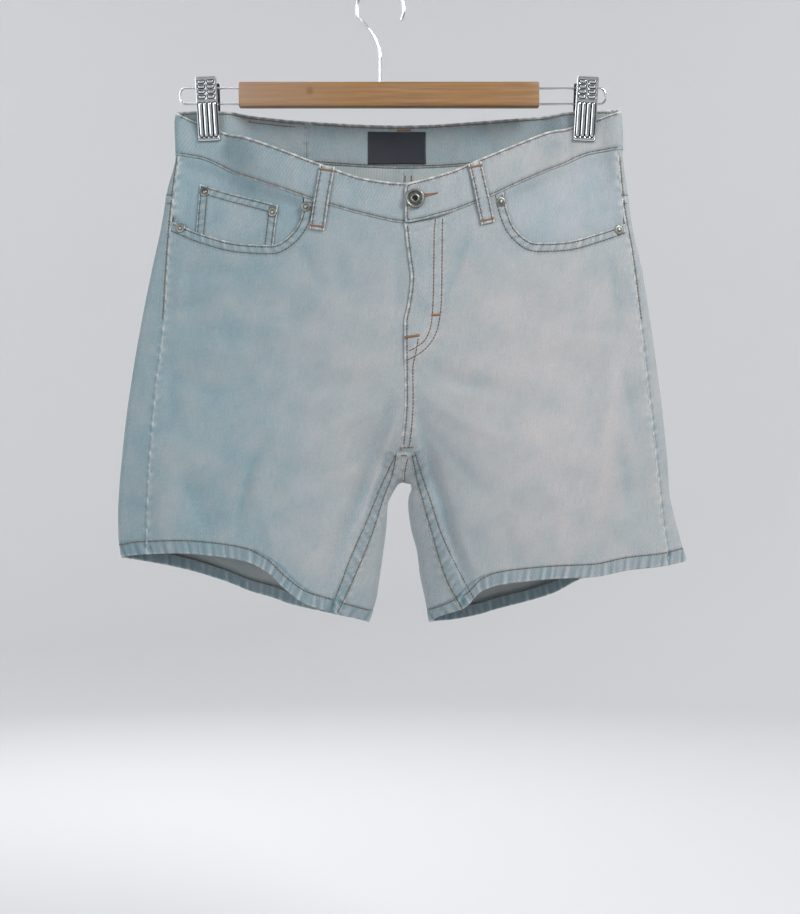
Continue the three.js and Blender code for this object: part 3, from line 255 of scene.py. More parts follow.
def outward(face, x, z, step=0.02):
    """The cloth's outward direction, from the slope of its depth across and down."""
    lean_x = depth(face, x - step, z) - depth(face, x + step, z)
    lean_z = depth(face, x, z - step) - depth(face, x, z + step)
    normal = np.stack([lean_x, np.full(x.shape, 2 * step * face), lean_z], axis=-1)
    return normal / np.linalg.norm(normal, axis=-1, keepdims=True)


def rope(along, pitch):
    """The uneven rise and fall of a seam that has shrunk in the wash: three waves of related lengths."""
    turn = 2 * np.pi * (along + 1.6 * np.sin(along / (2.7 * pitch)) * np.sin(along / pitch)) / pitch
    return 0.55 * np.sin(turn) + 0.3 * np.sin(turn / 1.63 + 1.1) + 0.25 * np.sin(turn * 1.64 + 2.3)


def seam(face, line, rows=(), doubled=0.0, raised=0.45, ropy=0.25, pitch=7.5, slant=0.5, edge=0.0, worn=0.5,
         blue=0.25):
    """A sewn line of a panel: its stitched rows and doubled cloth at distances from the line, how far the
    doubled cloth is raised and how much it ropes, and the radius of a turned edge on the line."""
    return {"face": face, "line": np.array(line, float), "rows": rows, "doubled": doubled, "raised": raised,
            "ropy": ropy, "pitch": pitch, "slant": slant, "edge": edge, "worn": worn, "blue": blue}


def relief(face, x, z, seams):
    """What the seams do to a panel's face: how far each point is raised, how far it is rounded off at an
    edge, and its tone, positive where the indigo is worn off a ridge and negative in a groove."""
    lift, rounded, tone = np.zeros(x.shape), np.zeros(x.shape), np.zeros(x.shape)
    for sewn in seams:
        line, doubled, edge = sewn["line"], sewn["doubled"], sewn["edge"]
        reach = max(doubled, 4.0) + 9
        low, high = line.min(axis=0) - reach, line.max(axis=0) + reach
        here = (face == sewn["face"]) | ((face == FOLD) & (sewn["face"] == BACK))
        here &= (x > low[0]) & (x < high[0]) & (z > low[1]) & (z < high[1])
        if not here.any():
            continue
        far, along = to_line(line, x[here], z[here])
        wave = rope(along + sewn["slant"] * far, sewn["pitch"])
        total = np.hypot(*np.diff(line, axis=0).T).sum()
        past_end = ((along <= 0) | (along >= total)) * smooth(0.3, 2.0, far)
        near = np.exp(-((far / max(doubled, 4.0)) ** 4)) * (1 - past_end)
        raised = sewn["raised"] * (1 - smooth(doubled, doubled + 1.5,
                                              far)) * (1 - past_end) if doubled else 0
        up = raised + sewn["ropy"] * wave * near
        rubbed = 0.6 + 0.4 * rope(along, 4.3 * sewn["pitch"]) + 0.35 * wave
        patchy = np.where(wave > 0, 0.7, 0.4) * wave * near
        worn = sewn["worn"] * (np.exp(-((far / 1.3) ** 2)) * rubbed + patchy)
        if doubled:
            worn = worn - sewn["blue"] * (1 - smooth(doubled, doubled + 2.5, far)) * (1 - past_end)
        for row in sewn["rows"]:
            groove = np.exp(-(((far - row) / 0.8) ** 2))
            up = up - 0.3 * groove
            worn = worn - 0.45 * groove
        lift[here] += up
        tone[here] += worn
        if edge:
            rounded[here] += edge * (1 - np.sqrt(1 - np.clip((edge - far) / edge, 0, 1) ** 2))
    return lift, rounded, tone


# Where the indigo is bleached out of the panels: centre, half width, half height and strength
BLEACHED = {
    FRONT: ((129, -209, 76, 62, 0.6), (143, -316, 70, 62, 0.6), (62, -262, 50, 70, 0.25),
            (-40, -227, 60, 66, 0.42),
            (-49, -334, 50, 50, 0.45), (-60, -414, 50, 36, 0.35), (128, -390, 80, 36, 0.3),
            (150, -62, 60, 30, 0.3)),
    BACK: ((100, -230, 70, 70, 0.6), (-100, -230, 70, 70, 0.6), (110, -380, 60, 50, 0.3),
           (-110, -380, 60, 50, 0.3)),
}


def bleach(face, x, z):
    """How far the cloth is paled, from 0 for blue to 1 for near white: on the front more to the wearer's left,
    partly a real fade and partly painted light that falls brighter on that side, less towards the sides, and
    most in soft ovals of real bleaching; crease troughs get painted shade and crease ridges painted highlight."""
    amount = np.zeros(x.shape)
    for side, ovals in BLEACHED.items():
        here = (face == side) | ((face == FOLD) & (side == BACK))
        # On the front the cloth pales towards the wearer's left: partly a real fade, partly painted light that
        # falls brighter on that side.
        amount[here] = mix(0.3, 0.62, smooth(-230, 190, x[here])) if side == FRONT else 0.36
        for centre_x, centre_z, wide, high, strength in ovals:
            oval = np.hypot((x[here] - centre_x) / wide, (z[here] - centre_z) / high)
            amount[here] += strength * (1 - amount[here]) * np.exp(-(oval ** 2))
        # Painted shade and highlight: crease troughs are made bluer and darker, crease ridges paler.
        crease_shade_and_highlight = creased(side, x[here], z[here], 0.5)
        amount[here] += np.where(crease_shade_and_highlight < 0, 0.06, 0.05) * np.clip(crease_shade_and_highlight, -3, 3)
    return amount


def make_mesh(name, points, faces, material, at=GARMENT_AT, sharp=50, **attributes):
    """An object whose mesh holds these points, moved to their place in the object's frame, in metres."""
    mesh = bpy.data.meshes.new(name)
    mesh.from_pydata(((points + at) * 0.001).tolist(), [], faces)
    for key, values in attributes.items():
        kind, field = ("FLOAT", "value") if values.ndim == 1 else ("FLOAT_VECTOR", "vector")
        mesh.attributes.new(key, kind, "POINT").data.foreach_set(field, values.astype(np.float32).ravel())
    mesh.materials.append(material)
    mesh.shade_smooth()
    mesh.set_sharp_from_angle(angle=math.radians(sharp))
    mesh.validate()
    thing = bpy.data.objects.new(name, mesh)
    bpy.context.scene.collection.objects.link(thing)
    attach(thing, "root")
    return thing


def patch(half, face, x, z, seams, thick=CLOTH, out=0.0, wrapped=False, top=None, reverse=1.0):
    """A grid of cloth: where it lies, how far its outer and inner faces stand off, and its tones and weave.
    The weave's own coordinates run on round the folds, and along the top edge where one is given."""
    face = np.broadcast_to(np.asarray(face), x.shape).copy()
    lift, rounded, tone = relief(face, x, z, seams)
    edge = outline[half](z) if half else 0 * x
    u = np.where(face == FRONT, x, 2 * edge - x)
    if wrapped:
        u = x + 2 * edge - 2 * arch[half](np.minimum(z, CROTCH_Z))
    rounded = np.minimum(rounded, thick * 0.46)
    return {"face": face, "x": x, "z": z, "out": out + lift - rounded,
            "in": out + lift * 0.6 - thick + rounded,
            "tone": tone, "bleach": bleach(face, x, z), "u": u, "v": z if top is None else z - top,
            "reverse": reverse + 0 * x}


def cloth(name, patches, material, *nodes):
    """A closed wall of cloth over grids that share a column: outer and inner faces along each point's
    normal, joined round every open edge."""
    all_of = {key: np.concatenate([grid[key].ravel() for grid in patches]) for key in patches[0]}
    place = surface(all_of["face"], all_of["x"], all_of["z"])
    rounded = np.round(place * 500).astype(np.int64)
    _, first, number = np.unique(rounded, axis=0, return_index=True, return_inverse=True)
    number = number.ravel()
    place = place[first]
    quads = []
    start = 0
    for grid in patches:
        index = number[start:start + grid["x"].size].reshape(grid["x"].shape)
        start += grid["x"].size
        corners = np.stack([index[:-1, :-1], index[1:, :-1], index[1:, 1:], index[:-1, 1:]], -1).reshape(-1,
                                                                                                         4)
        facing = np.cross(place[corners[:, 2]] - place[corners[:, 0]],
                          place[corners[:, 3]] - place[corners[:, 1]])
        turned = (facing[:, 1] * all_of["face"][first][corners].mean(axis=1)).sum() < 0
        quads.append(corners[:, ::-1] if turned else corners)
    quads = np.concatenate(quads)
    area = np.cross(place[quads[:, 2]] - place[quads[:, 0]], place[quads[:, 3]] - place[quads[:, 1]])
    normal = np.zeros(place.shape)
    for corner in range(4):
        np.add.at(normal, quads[:, corner], area)
    normal /= np.maximum(np.linalg.norm(normal, axis=1, keepdims=True), 1e-9)

    count = len(place)
    outer = place + normal * all_of["out"][first][:, None]
    inner = place + normal * all_of["in"][first][:, None]
    edges = np.concatenate([quads[:, [i, (i + 1) % 4]] for i in range(4)])
    edges = edges[edges[:, 0] != edges[:, 1]]
    forward, backward = edges[:, 0] * count + edges[:, 1], edges[:, 1] * count + edges[:, 0]
    a, b = edges[~np.isin(forward, backward)].T
    walls = np.stack([b, a, a + count, b + count], axis=1)
    everywhere = np.concatenate([quads, quads[:, ::-1] + count, walls])
    distinct = (everywhere != np.roll(everywhere, 1, axis=1)).all(axis=1)
    faces = everywhere[distinct].tolist()
    for face in everywhere[~distinct].tolist():
        corners = list(dict.fromkeys(face))
        if len(corners) > 2:
            faces.append(corners)
    both = {key: np.tile(all_of[key][first], 2) for key in ("tone", "bleach", "u", "v")}
    weave = np.column_stack([both["u"], both["v"], np.zeros(2 * count)])
    made = make_mesh(name, np.concatenate([outer, inner]), faces, material, tone=both["tone"],
                     bleach=both["bleach"], inside=np.append(np.zeros(count), all_of["reverse"][first]),
                     weave=weave)
    if nodes:
        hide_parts(*nodes)
    return made


def node(tree, kind, links=None, **settings):
    """A shader node with its settings, its inputs linked from sockets or set to values."""
    made = tree.nodes.new(kind)
    for key, value in settings.items():
        setattr(made, key, value)
    for key, value in (links or {}).items():
        if isinstance(value, bpy.types.NodeSocket):
            tree.links.new(value, made.inputs[key])
        else:
            made.inputs[key].default_value = value
    return made


def finish_named(name, roughness, metallic=0.0):
    """A new material with a Principled shader: returns the material, its node tree and the shader."""
    material = bpy.data.materials.new(name)
    material.use_nodes = True
    shader = material.node_tree.nodes["Principled BSDF"]
    shader.inputs["Roughness"].default_value = roughness
    shader.inputs["Metallic"].default_value = metallic
    return material, material.node_tree, shader


def colour(red, green, blue):
    """A colour given as it shows on a screen, from 0 to 255, as the shader's linear light."""
    shares = [value / 255 for value in (red, green, blue)]
    return [s / 12.92 if s <= 0.04045 else ((s + 0.055) / 1.055) ** 2.4 for s in shares] + [1.0]


def maths(tree, operation, first, second, third=None, clamped=False):
    links = {0: first, 1: second}
    if third is not None:
        links[2] = third
    return node(tree, "ShaderNodeMath", links, operation=operation, use_clamp=clamped).outputs[0]


def blended(tree, share, first, second, blend="MIX"):
    return node(tree, "ShaderNodeMixRGB", {0: share, 1: first, 2: second}, blend_type=blend).outputs[0]


def denim(name, deep, blue, pale, worn):
    """Washed denim. The weave attribute carries the twill's steep diagonal, the uneven warp yarns and the fine
    crossings; bleach runs from blue to pale and also carries painted shade in the creases' troughs, painted
    highlight on their ridges and painted light that is brighter towards the wearer's left, and tone wears
    ridges white and leaves grooves blue."""
    material, tree, shader = finish_named(name, 0.93)
    weave = node(tree, "ShaderNodeAttribute", attribute_name="weave").outputs["Vector"]
    bleached = node(tree, "ShaderNodeAttribute", attribute_name="bleach").outputs["Fac"]
    tone = node(tree, "ShaderNodeAttribute", attribute_name="tone").outputs["Fac"]
    inside = node(tree, "ShaderNodeAttribute", attribute_name="inside").outputs["Fac"]

    slanted = node(tree, "ShaderNodeMapping", {0: weave, "Rotation": (0, 0, math.radians(27))}).outputs[0]
    twill = node(tree, "ShaderNodeTexWave",
                 {"Vector": slanted, "Scale": 0.135, "Distortion": 1.0, "Detail": 1.0,
                                             "Detail Scale": 0.6}, bands_direction="X").outputs["Fac"]
    yarn = node(tree, "ShaderNodeMapping", {0: weave, "Scale": (1.6, 0.07, 1)}).outputs[0]
    warp = node(tree, "ShaderNodeTexNoise", {"Vector": yarn, "Scale": 1.0, "Detail": 3.0}).outputs["Fac"]
    pick = node(tree, "ShaderNodeMapping", {0: weave, "Scale": (0.09, 1.5, 1)}).outputs[0]
    weft = node(tree, "ShaderNodeTexNoise", {"Vector": pick, "Scale": 1.0, "Detail": 2.0}).outputs["Fac"]
    cloud = node(tree, "ShaderNodeTexNoise", {"Vector": weave, "Scale": 0.035, "Detail": 4.0,
                                              "Roughness": 0.6}).outputs["Fac"]
    fleck = node(tree, "ShaderNodeTexNoise", {"Vector": weave, "Scale": 0.45, "Detail": 3.0}).outputs["Fac"]

    # The bleach amount includes painted crease shade and highlight and painted light brighter towards the
    # wearer's left.
    amount = maths(tree, "ADD", bleached, maths(tree, "MULTIPLY_ADD", cloud, 0.7, -0.35))
    amount = maths(tree, "ADD", amount, maths(tree, "MULTIPLY_ADD", fleck, 0.5, -0.25), clamped=True)
    base = blended(tree, amount, blue, pale)
    ridge = maths(tree, "MULTIPLY", tone, 0.8, clamped=True)
    groove = maths(tree, "MULTIPLY", tone, -0.8, clamped=True)
    base = blended(tree, groove, blended(tree, ridge, base, worn), deep)
    threads = maths(tree, "MULTIPLY_ADD", twill, 0.10, maths(tree, "MULTIPLY_ADD", warp, 0.34, 0.65))
    threads = maths(tree, "MULTIPLY_ADD", weft, 0.16, threads)
    base = blended(tree, 1.0, base, threads, "MULTIPLY")
    reverse = blended(tree, 0.4, base, worn)
    tree.links.new(blended(tree, maths(tree, "MULTIPLY", inside, 0.8), base, reverse),
                   shader.inputs["Base Color"])
    height = maths(tree, "MULTIPLY_ADD", twill, 0.5, maths(tree, "MULTIPLY", warp, 0.6))
    height = maths(tree, "MULTIPLY_ADD", weft, 0.3, height)
    bump = node(tree, "ShaderNodeBump", {"Height": height, "Strength": 0.55, "Distance": 0.0004})
    tree.links.new(bump.outputs[0], shader.inputs["Normal"])
    shader.inputs["Sheen Weight"].default_value = 0.12
    shader.inputs["Sheen Roughness"].default_value = 0.5
    shader.inputs["Specular IOR Level"].default_value = 0.25
    return material


washed_denim = denim("washed_denim", colour(80, 114, 126), colour(114, 144, 153), colour(178, 174, 174),
                     colour(202, 200, 196))

side_seam = {
    "right": curve((-43, -90, -135, -196, -256, -321, -381, -420),
                   (-204.6, -209.9, -213.2, -216.8, -223.9, -228.8, -231.5, -232.6)),
    "left": curve((-43, -90, -135, -196, -256, -321, -381, -420),
                  (201.2, 205.6, 213.3, 221, 228, 235.5, 241.7, 247.2)),
}
inseam = {
    "right": curve((-318, -337, -361, -392, -434, -465), (-1.4, -4.9, -13.8, -23.6, -40.7, -55.1)),
    "left": curve((-318, -337, -361, -392, -434, -465), (8.7, 12.6, 18.8, 27.6, 40.4, 57)),
}
centre_front = curve((-110, -146, -160, -184, -201, -270, -315.5), (3.6, 7.8, 9.6, 6.9, 3.6, 4.1, 0.6))
WAIST_X = (-209, -187, -147, -112, -73, -28, 4, 36, 74, 113, 149, 177, 207)
front_top = curve(WAIST_X, (-3, -12.3, -27.2, -40.8, -56.6, -71.6, -75.2, -68, -51.9, -34.6, -19.5, -10.4,
                            -1))
front_seam = curve(WAIST_X, (-42.5, -45.5, -63.9, -77.9, -92.2, -105.4, -111.5, -104.8, -90.3, -71.7, -53.7,
                             -41.6, -37))
HEM_X = {
    "right": (-262, -235, -200, -165, -140, -121, -104, -86, -62, -28),
    "left": (26, 44, 61, 75, 90, 113, 145, 176, 209, 240, 266),
}
hem_front = {
    "right": curve(HEM_X["right"],
                   (-415.5, -412.2, -410.8, -413.3, -417.7, -427, -443.2, -456.4, -464.9, -476.6)),
    "left": curve(HEM_X["left"],
                  (-476.4, -468.6, -459.2, -445, -439.2, -435.8, -433.2, -432.1, -426.2, -423.6,
                                  -419)),
}
hem_back = {
    "right": curve(HEM_X["right"],
                   (-416.2, -421.4, -429.7, -441, -451, -456.5, -462.5, -466.5, -471, -476.6)),
    "left": curve(HEM_X["left"],
                  (-476.4, -476.1, -474, -471.6, -467.5, -462, -452.4, -436.8, -428.6, -423, -419)),
}
MOUTH = {
    "right": ((-86.5, -88.5), (-89.6, -105), (-99, -120.5), (-116, -129.8), (-146.4, -127.6),
              (-181.3, -117.9),
              (-210.3, -105.3)),
    "left": ((93.8, -81.6), (97.6, -98.5), (105.5, -116), (124, -127.4), (148.2, -126.1), (184.3, -115.9),
             (207.2, -107.2)),
}


def through(points, spacing):
    """A smooth line through points, by their distance along it, at an even spacing."""
    points = np.array(points, float)
    run = np.append(0, np.cumsum(np.hypot(*np.diff(points, axis=0).T)))
    at = np.linspace(0, run[-1], max(2, round(run[-1] / spacing) + 1))
    return np.column_stack([curve(run, points[:, 0])(at), curve(run, points[:, 1])(at)])


def beside(line, away, toward):
    """A line that runs a distance away from another, on the side where the point toward lies."""
    line = np.array(line, float)
    step = np.gradient(line, axis=0)
    normal = np.column_stack([-step[:, 1], step[:, 0]]) / np.hypot(*step.T)[:, None]
    middle = len(line) // 2
    side = np.sign(normal[middle] @ (np.array(toward) - line[middle]))
    return line + normal * side * away


def settle(across, height, start):
    """The height of an edge under a column whose own x depends on the height."""
    z = start
    for _ in range(8):
        z = height(across(z))
    return z


def steps(*spans):
    """Distances in a row: each span is its end and its number of even steps from the one before."""
    found = [0.0]
    for end, count in spans:
        found.extend(np.linspace(found[-1], end, count + 1)[1:])
    return np.array(found)


def front_inner(half, z):
    """The inner edge of a front panel: the centre front with the fly's lap, the crotch, then the inseam."""
    lap = 12 * smooth(-232, -222, z) if half == "right" else 0
    crossing = mix(inseam[half](-318), centre_front(-315.5), (z + 318) / 2.5)
    above = centre_front(z) + lap
    return np.where(z <= -318, inseam[half](z), np.where(z <= -315.5, crossing, above))


def front_across(half, share, z):
    """Where a column of a front panel lies at a height: from the inner edge, which only the first ones
    follow exactly, to the side seam."""
    sign = SIGN[half]
    lower = mix(centre_front(-262.0), inseam[half](-318.0), smooth(-262, -318, z))
    lean = np.where(z > -262, centre_front(z), np.where(z < -318, inseam[half](z), lower)) + sign * SEAM_GAP
    follows = np.maximum(0, 1 - share / 0.05) ** 2
    inner = front_inner(half, z) + sign * SEAM_GAP
    return mix(mix(lean, inner, follows), side_seam[half](z) - sign * SEAM_GAP, share), lean


SEAM_ROWS = (1.8, 8.0)
fly_curve = through(((32.0, -107.5), (30.8, -122), (30.7, -154), (29.8, -185.3), (28.5, -200.6),
                     (26.2, -209.6), (21.7, -217.7),
                     (14.5, -223.2), (5.4, -227.7)), 3)
fly_outer = through(((38.6, -106.5), (38.2, -122), (37.9, -153.8), (37.5, -180.8), (34.8, -203.3),
                     (30.8, -214.1), (25.3, -222.2),
                     (16.3, -229.5), (6.3, -234.9)), 3)
outer_rows = {
    "right": through(((-3.4, -319.7), (-9.8, -332.5), (-18.2, -350.6), (-29.2, -377.6), (-45.7, -415.9),
                      (-60.4, -454.7), (-64.2, -464)), 2),
    "left": through(((13.3, -317.1), (18.4, -333.7), (27.5, -360.9), (37.5, -391.6), (46.5, -412.2),
                     (57, -432.5), (66, -449), (69, -454)), 2),
}
front_seams, sewn_front = {}, {}
for half, sign in SIGN.items():
    mouth = through(MOUTH[half], 1.8)
    leg_z = np.linspace(-318.3, -477, 60)
    inseam_line = np.column_stack([inseam[half](leg_z), leg_z])
    hem_x = np.linspace(side_seam[half](-414.0), sign * 58, 90)
    hem_line = np.column_stack([hem_x, hem_front[half](hem_x)])
    side_z = np.linspace(-104, -424, 60)
    side_line = np.column_stack([side_seam[half](side_z), side_z])
    middle = (sign * 110, -260)
    front_seams[half] = [
        seam(FRONT, mouth, SEAM_ROWS, 9, 0.35, 0.34, 7.5, 0.5, edge=0.9, worn=0.9),
        seam(FRONT, inseam_line, (1.8,), 11.5, 0.6, 0.42, 8, 0.6, edge=0.6, worn=0.8, blue=0.4),
        seam(FRONT, outer_rows[half], (0.0,), 0, 0, 0.1, 8, 0.4, worn=0.2),
        seam(FRONT, hem_line, (12.0,), 11.6, 0.25, 0.42, 7.2, 0.25, edge=1.3, worn=1.0, blue=0.42),
        seam(FRONT, side_line, (), 0, 0, 0.28, 9, 0.2, edge=0.3, worn=0.4),
    ]
    sewn_front[half] = [
        [(FRONT, beside(mouth, away, middle)[1:-1])] for away in SEAM_ROWS
    ] + [
        [(FRONT, beside(inseam_line, 1.8, middle)[1:-3])], [(FRONT, outer_rows[half])],
    ]
centre_z = np.linspace(-112, -316, 90)
centre_line = np.column_stack([centre_front(centre_z), centre_z])
second_row = through(((16.6, -214.6), (14.6, -227), (11.6, -243), (12.0, -271), (10.4, -298), (8.0, -315)),
                     2)
front_seams["left"] += [
    seam(FRONT, centre_line, (2.6,), 3.8, 0.35, 0.25, 9, 0.3, edge=0.9, worn=1.1, blue=0.1),
    seam(FRONT, second_row, (), 0, 0, 0.3, 8, 0.5, worn=0.4),
    seam(FRONT, fly_curve, (), 0, 0, 0.22, 9, 0.3, worn=0.35),
    seam(FRONT, fly_outer, (), 0, 0, 0.22, 8, 0.3, worn=0.35),
]
sewn_front["left"] += [[(FRONT, beside(centre_line, 2.6, (60, -260))[1:-1])], [(FRONT, second_row)],
                       [(FRONT, fly_curve)], [(FRONT, fly_outer)],
                       [(FRONT, [(-0.5, -314.2), (12.6, -313.8)])]]

for half, sign in SIGN.items():
    mouth = through(MOUTH[half], 1.8)
    mouth_share = []
    for x, z in mouth:
        _, lean = front_across(half, 0.5, z)
        mouth_share.append((x - lean) / (side_seam[half](z) - sign * SEAM_GAP - lean))
    start = mouth_share[0]
    share = np.concatenate([
        steps((0.004, 3), (0.05, 11), (start - 0.05, 34), (start, 12)),
        np.minimum(1, mouth_share[1:-1]), [1.0],
    ])
    inner_count = len(share) - len(mouth) + 1
    top = settle(lambda z: front_across(half, share, z)[0], front_seam, np.full(share.shape, -90.0)) - 0.3
    top[inner_count:] = mouth[1:, 1]
    foot = settle(lambda z: front_across(half, share, z)[0], hem_front[half], np.full(share.shape, -420.0))
    down = steps((1.2, 4), (12, 12))
    up = steps((1.5, 4), (14.5, 13))[::-1]
    middle = np.linspace(0, 1, 125)[1:-1]
    top, foot = top[:, None], foot[:, None]
    z = np.concatenate([top - down, mix(top - down[-1], foot + up[0], middle), foot + up], axis=1)
    x, _ = front_across(half, share[:, None], z)
    thick = mix(CLOTH, HEM_THICK, 1 - smooth(HEM_DEPTH - 0.3, HEM_DEPTH + 0.3, z - foot))
    beyond = x - centre_front(z) - 14
    lap = 1.5 * (1 - smooth(0, 12, beyond)) * smooth(-246, -232, z) if half == "left" else 0
    cloth(
        f"front_{half}_denim",
        [patch(half, FRONT, x, z, front_seams[half], thick, lap,
               reverse=smooth(HEM_DEPTH - 0.3, HEM_DEPTH, z - foot))],
        washed_denim, f"front_{half}")


# The stitching of the panels: heavy brown and orange thread in rows of lockstitch, about 3 mm a stitch.
# Each stitch is a short bowed capsule that dips into the cloth at both ends, and bartacks are close rows.
def thread_finish():
    """Brown spun thread, with each stitch's own tone between dark brown and rust orange, and its twist."""
    material, tree, shader = finish_named("brown_thread", 0.7)
    tone = node(tree, "ShaderNodeAttribute", attribute_name="tone").outputs["Fac"]
    place = node(tree, "ShaderNodeTexCoord").outputs["Object"]
    speckle = node(tree, "ShaderNodeTexNoise",
                   {"Vector": place, "Scale": 900.0, "Detail": 2.0}).outputs["Fac"]
    base = blended(tree, tone, colour(84, 72, 56), colour(150, 104, 66))
    shade = maths(tree, "MULTIPLY_ADD", speckle, 0.5, 0.75)
    tree.links.new(blended(tree, 1.0, base, shade, "MULTIPLY"), shader.inputs["Base Color"])
    bump = node(tree, "ShaderNodeBump", {"Height": speckle, "Strength": 0.5, "Distance": 0.0002})
    tree.links.new(bump.outputs[0], shader.inputs["Normal"])
    return material


brown_thread = thread_finish()
thread_tones = np.random.default_rng(11)
THREAD_SIDES = 5


def threads(name, starts, ends, normals, tone, radius=0.45):
    """A capsule of thread for each start and end: four rings, sunk at its ends and proud in its middle."""
    share = np.array([0, 0.18, 0.82, 1])[None, :, None]
    height = np.array([-0.14, 0.2, 0.2, -0.14])[None, :, None]
    ring = np.array([0.6, 1, 1, 0.6])[None, :, None, None] * radius
    line = (ends - starts)[:, None, :]
    middle = starts[:, None, :] + line * share + normals[:, None, :] * height
    side = np.cross(normals, ends - starts)
    side /= np.linalg.norm(side, axis=1, keepdims=True)
    turn = 2 * np.pi * np.arange(THREAD_SIDES) / THREAD_SIDES
    round_it = (np.cos(turn)[None, None, :, None] * side[:, None, None, :]
                + np.sin(turn)[None, None, :, None] * normals[:, None, None, :])
    points = (middle[:, :, None, :] + ring * round_it).reshape(-1, 3)
    here, after = np.arange(THREAD_SIDES), (np.arange(THREAD_SIDES) + 1) % THREAD_SIDES
    tube = np.concatenate([
        np.column_stack([here, after, after + THREAD_SIDES, here + THREAD_SIDES]) + THREAD_SIDES * k
        for k in range(3)
    ])
    base = 4 * THREAD_SIDES * np.arange(len(starts))
    faces = (tube[None] + base[:, None, None]).reshape(-1, 4).tolist()
    faces += (here[::-1][None] + base[:, None]).tolist()
    faces += (here[None] + 3 * THREAD_SIDES + base[:, None]).tolist()
    tones = np.clip(tone + thread_tones.normal(0, 0.12, len(starts)), 0, 1)
    return make_mesh(name, points, faces, brown_thread, sharp=80, tone=np.repeat(tones, 4 * THREAD_SIDES))


def trail(parts, seams, out):
    """Points on the cloth's face every millimetre along a row that may pass from one face to another round
    a fold, their normals, and the distance along the row."""
    places, normals = [], []
    for face, line in parts:
        line = np.array(line, float)
        run = np.append(0, np.cumsum(np.hypot(*np.diff(line, axis=0).T)))
        at = np.linspace(0, run[-1], int(run[-1]) + 2)
        near = np.array([0.05, 0.2, 0.5])
        at = np.concatenate([[0], near, at[1:-1], run[-1] - near[::-1], [run[-1]]])
        at = np.unique(np.clip(at, 0, run[-1]))
        x, z = np.interp(at, run, line[:, 0]), np.interp(at, run, line[:, 1])
        here = np.full(x.shape, face)
        lift, rounded, _ = relief(here, x, z, seams)
        normal = outward(face, x, z)
        height = lift - rounded + (out(x, z) if callable(out) else out)
        places.append(surface(here, x, z) + normal * height[:, None])
        normals.append(normal)
    places, normals = np.concatenate(places), np.concatenate(normals)
    run = np.append(0, np.cumsum(np.linalg.norm(np.diff(places, axis=0), axis=1)))
    return places, normals, run


def sew(name, rows, seams, out=0.0, tone=0.25, pitch=3.1, bars=(), inward=1.0):
    """All the stitching of one piece: rows of stitches, and bars, each a bartack given by its face, middle,
    half length across x and z, and half width."""
    starts, ends, normals, tones = [], [], [], []
    for parts in rows:
        places, normal, run = trail(parts, seams, out)
        if run[-1] < pitch:
            continue
        begin = np.arange(0.3, run[-1] - 0.9 * pitch, pitch * run[-1] / (pitch * round(run[-1] / pitch)))
        for axis_store, at in ((starts, begin), (ends, begin + 0.88 * pitch)):
            axis_store.append(np.column_stack([np.interp(at, run, places[:, k]) for k in range(3)]))
        normals.append(np.column_stack([np.interp(begin + 0.4 * pitch, run,
                                                  normal[:, k]) for k in range(3)]))
        tones.append(np.full(len(begin), tone))
    for face, (x, z), (half_x, half_z), half_wide in bars:
        count = max(5, round(2 * math.hypot(half_x, half_z) / 0.42))
        t = np.linspace(-1, 1, count)
        size = math.hypot(half_x, half_z)
        side_x, side_z = -half_z / size * half_wide, half_x / size * half_wide
        for store, way in ((starts, -1), (ends, 1)):
            bar_x, bar_z = x + half_x * t + way * side_x, z + half_z * t + way * side_z
            here = np.full(bar_x.shape, face)
            lift, rounded, _ = relief(here, bar_x, bar_z, seams)
            normal = outward(face, bar_x, bar_z)
            height = lift - rounded + (out(bar_x, bar_z) if callable(out) else out) + 0.15
            store.append(surface(here, bar_x, bar_z) + normal * height[:, None])
        normals.append(normal)
        tones.append(np.full(count, 0.72))
    stacked = [np.concatenate(group) for group in (starts, ends, normals)]
    return threads(name, stacked[0], stacked[1], stacked[2] * inward, np.concatenate(tones))


def fly_lift(x, z):
    return 1.5 * (1 - smooth(0, 12, x - centre_front(z) - 14)) * smooth(-246, -232, z)


sew("stitches_front_right", sewn_front["right"], front_seams["right"])
sew("stitches_front_left", sewn_front["left"], front_seams["left"], out=fly_lift,
    bars=[(FRONT, (32.4, -193.9), (3.6, 0.2), 1.0), (FRONT, (10.8, -213.4), (6.6, 0.9), 1.1)])


# The pocket facings, the denim that shows inside each curved mouth, sewn behind the front panels, and the
# small pocket on the wearer's right facing, with double rows of stitches along its edges.
facing_foot = curve((74, 90, 118, 150, 182, 212), (-121, -137, -143.5, -140, -131, -119))
facing_denim = denim("facing_denim", colour(78, 110, 122), colour(114, 145, 155), colour(168, 169, 172),
                     colour(198, 197, 196))
FACING_OUT = {"right": -3.2, "left": -2.0}
for half, sign in SIGN.items():
    share = np.linspace(0, 1, 76)[:, None]
    across = lambda z: mix(sign * 74, side_seam[half](z) - sign * SEAM_GAP, share)
    top = settle(across, front_seam, np.full(share.shape, -70.0)) - 0.3
    foot = settle(across, lambda x: facing_foot(np.abs(x)), np.full(share.shape, -130.0))
    z = mix(top, foot, np.linspace(0, 1, 44)[None, :])
    x = across(z)
    mouth = through(MOUTH[half], 1.8)
    above_mouth = smooth(1, 9, z - np.interp(sign * x, sign * mouth[:, 0], mouth[:, 1]))
    to_side = 1 - smooth(0, 12, sign * (side_seam[half](z) - x))
    to_band = 1 - smooth(0, 12, top - z)
    sewn_edge = np.maximum(to_side, to_band) * above_mouth
    side_z = np.linspace(-40, -106, 24)
    facing_seams = [seam(FRONT, np.column_stack([side_seam[half](side_z), side_z]), (), 0, 0, 0.3, 9, 0.3,
                         edge=0.3, worn=0.7)]
    cloth(
        f"pocket_facing_{half}_denim",
        [patch(half, FRONT, x, z, facing_seams, CLOTH, mix(FACING_OUT[half], -0.1, sewn_edge))],
        facing_denim, f"pocket_facing_{half}")

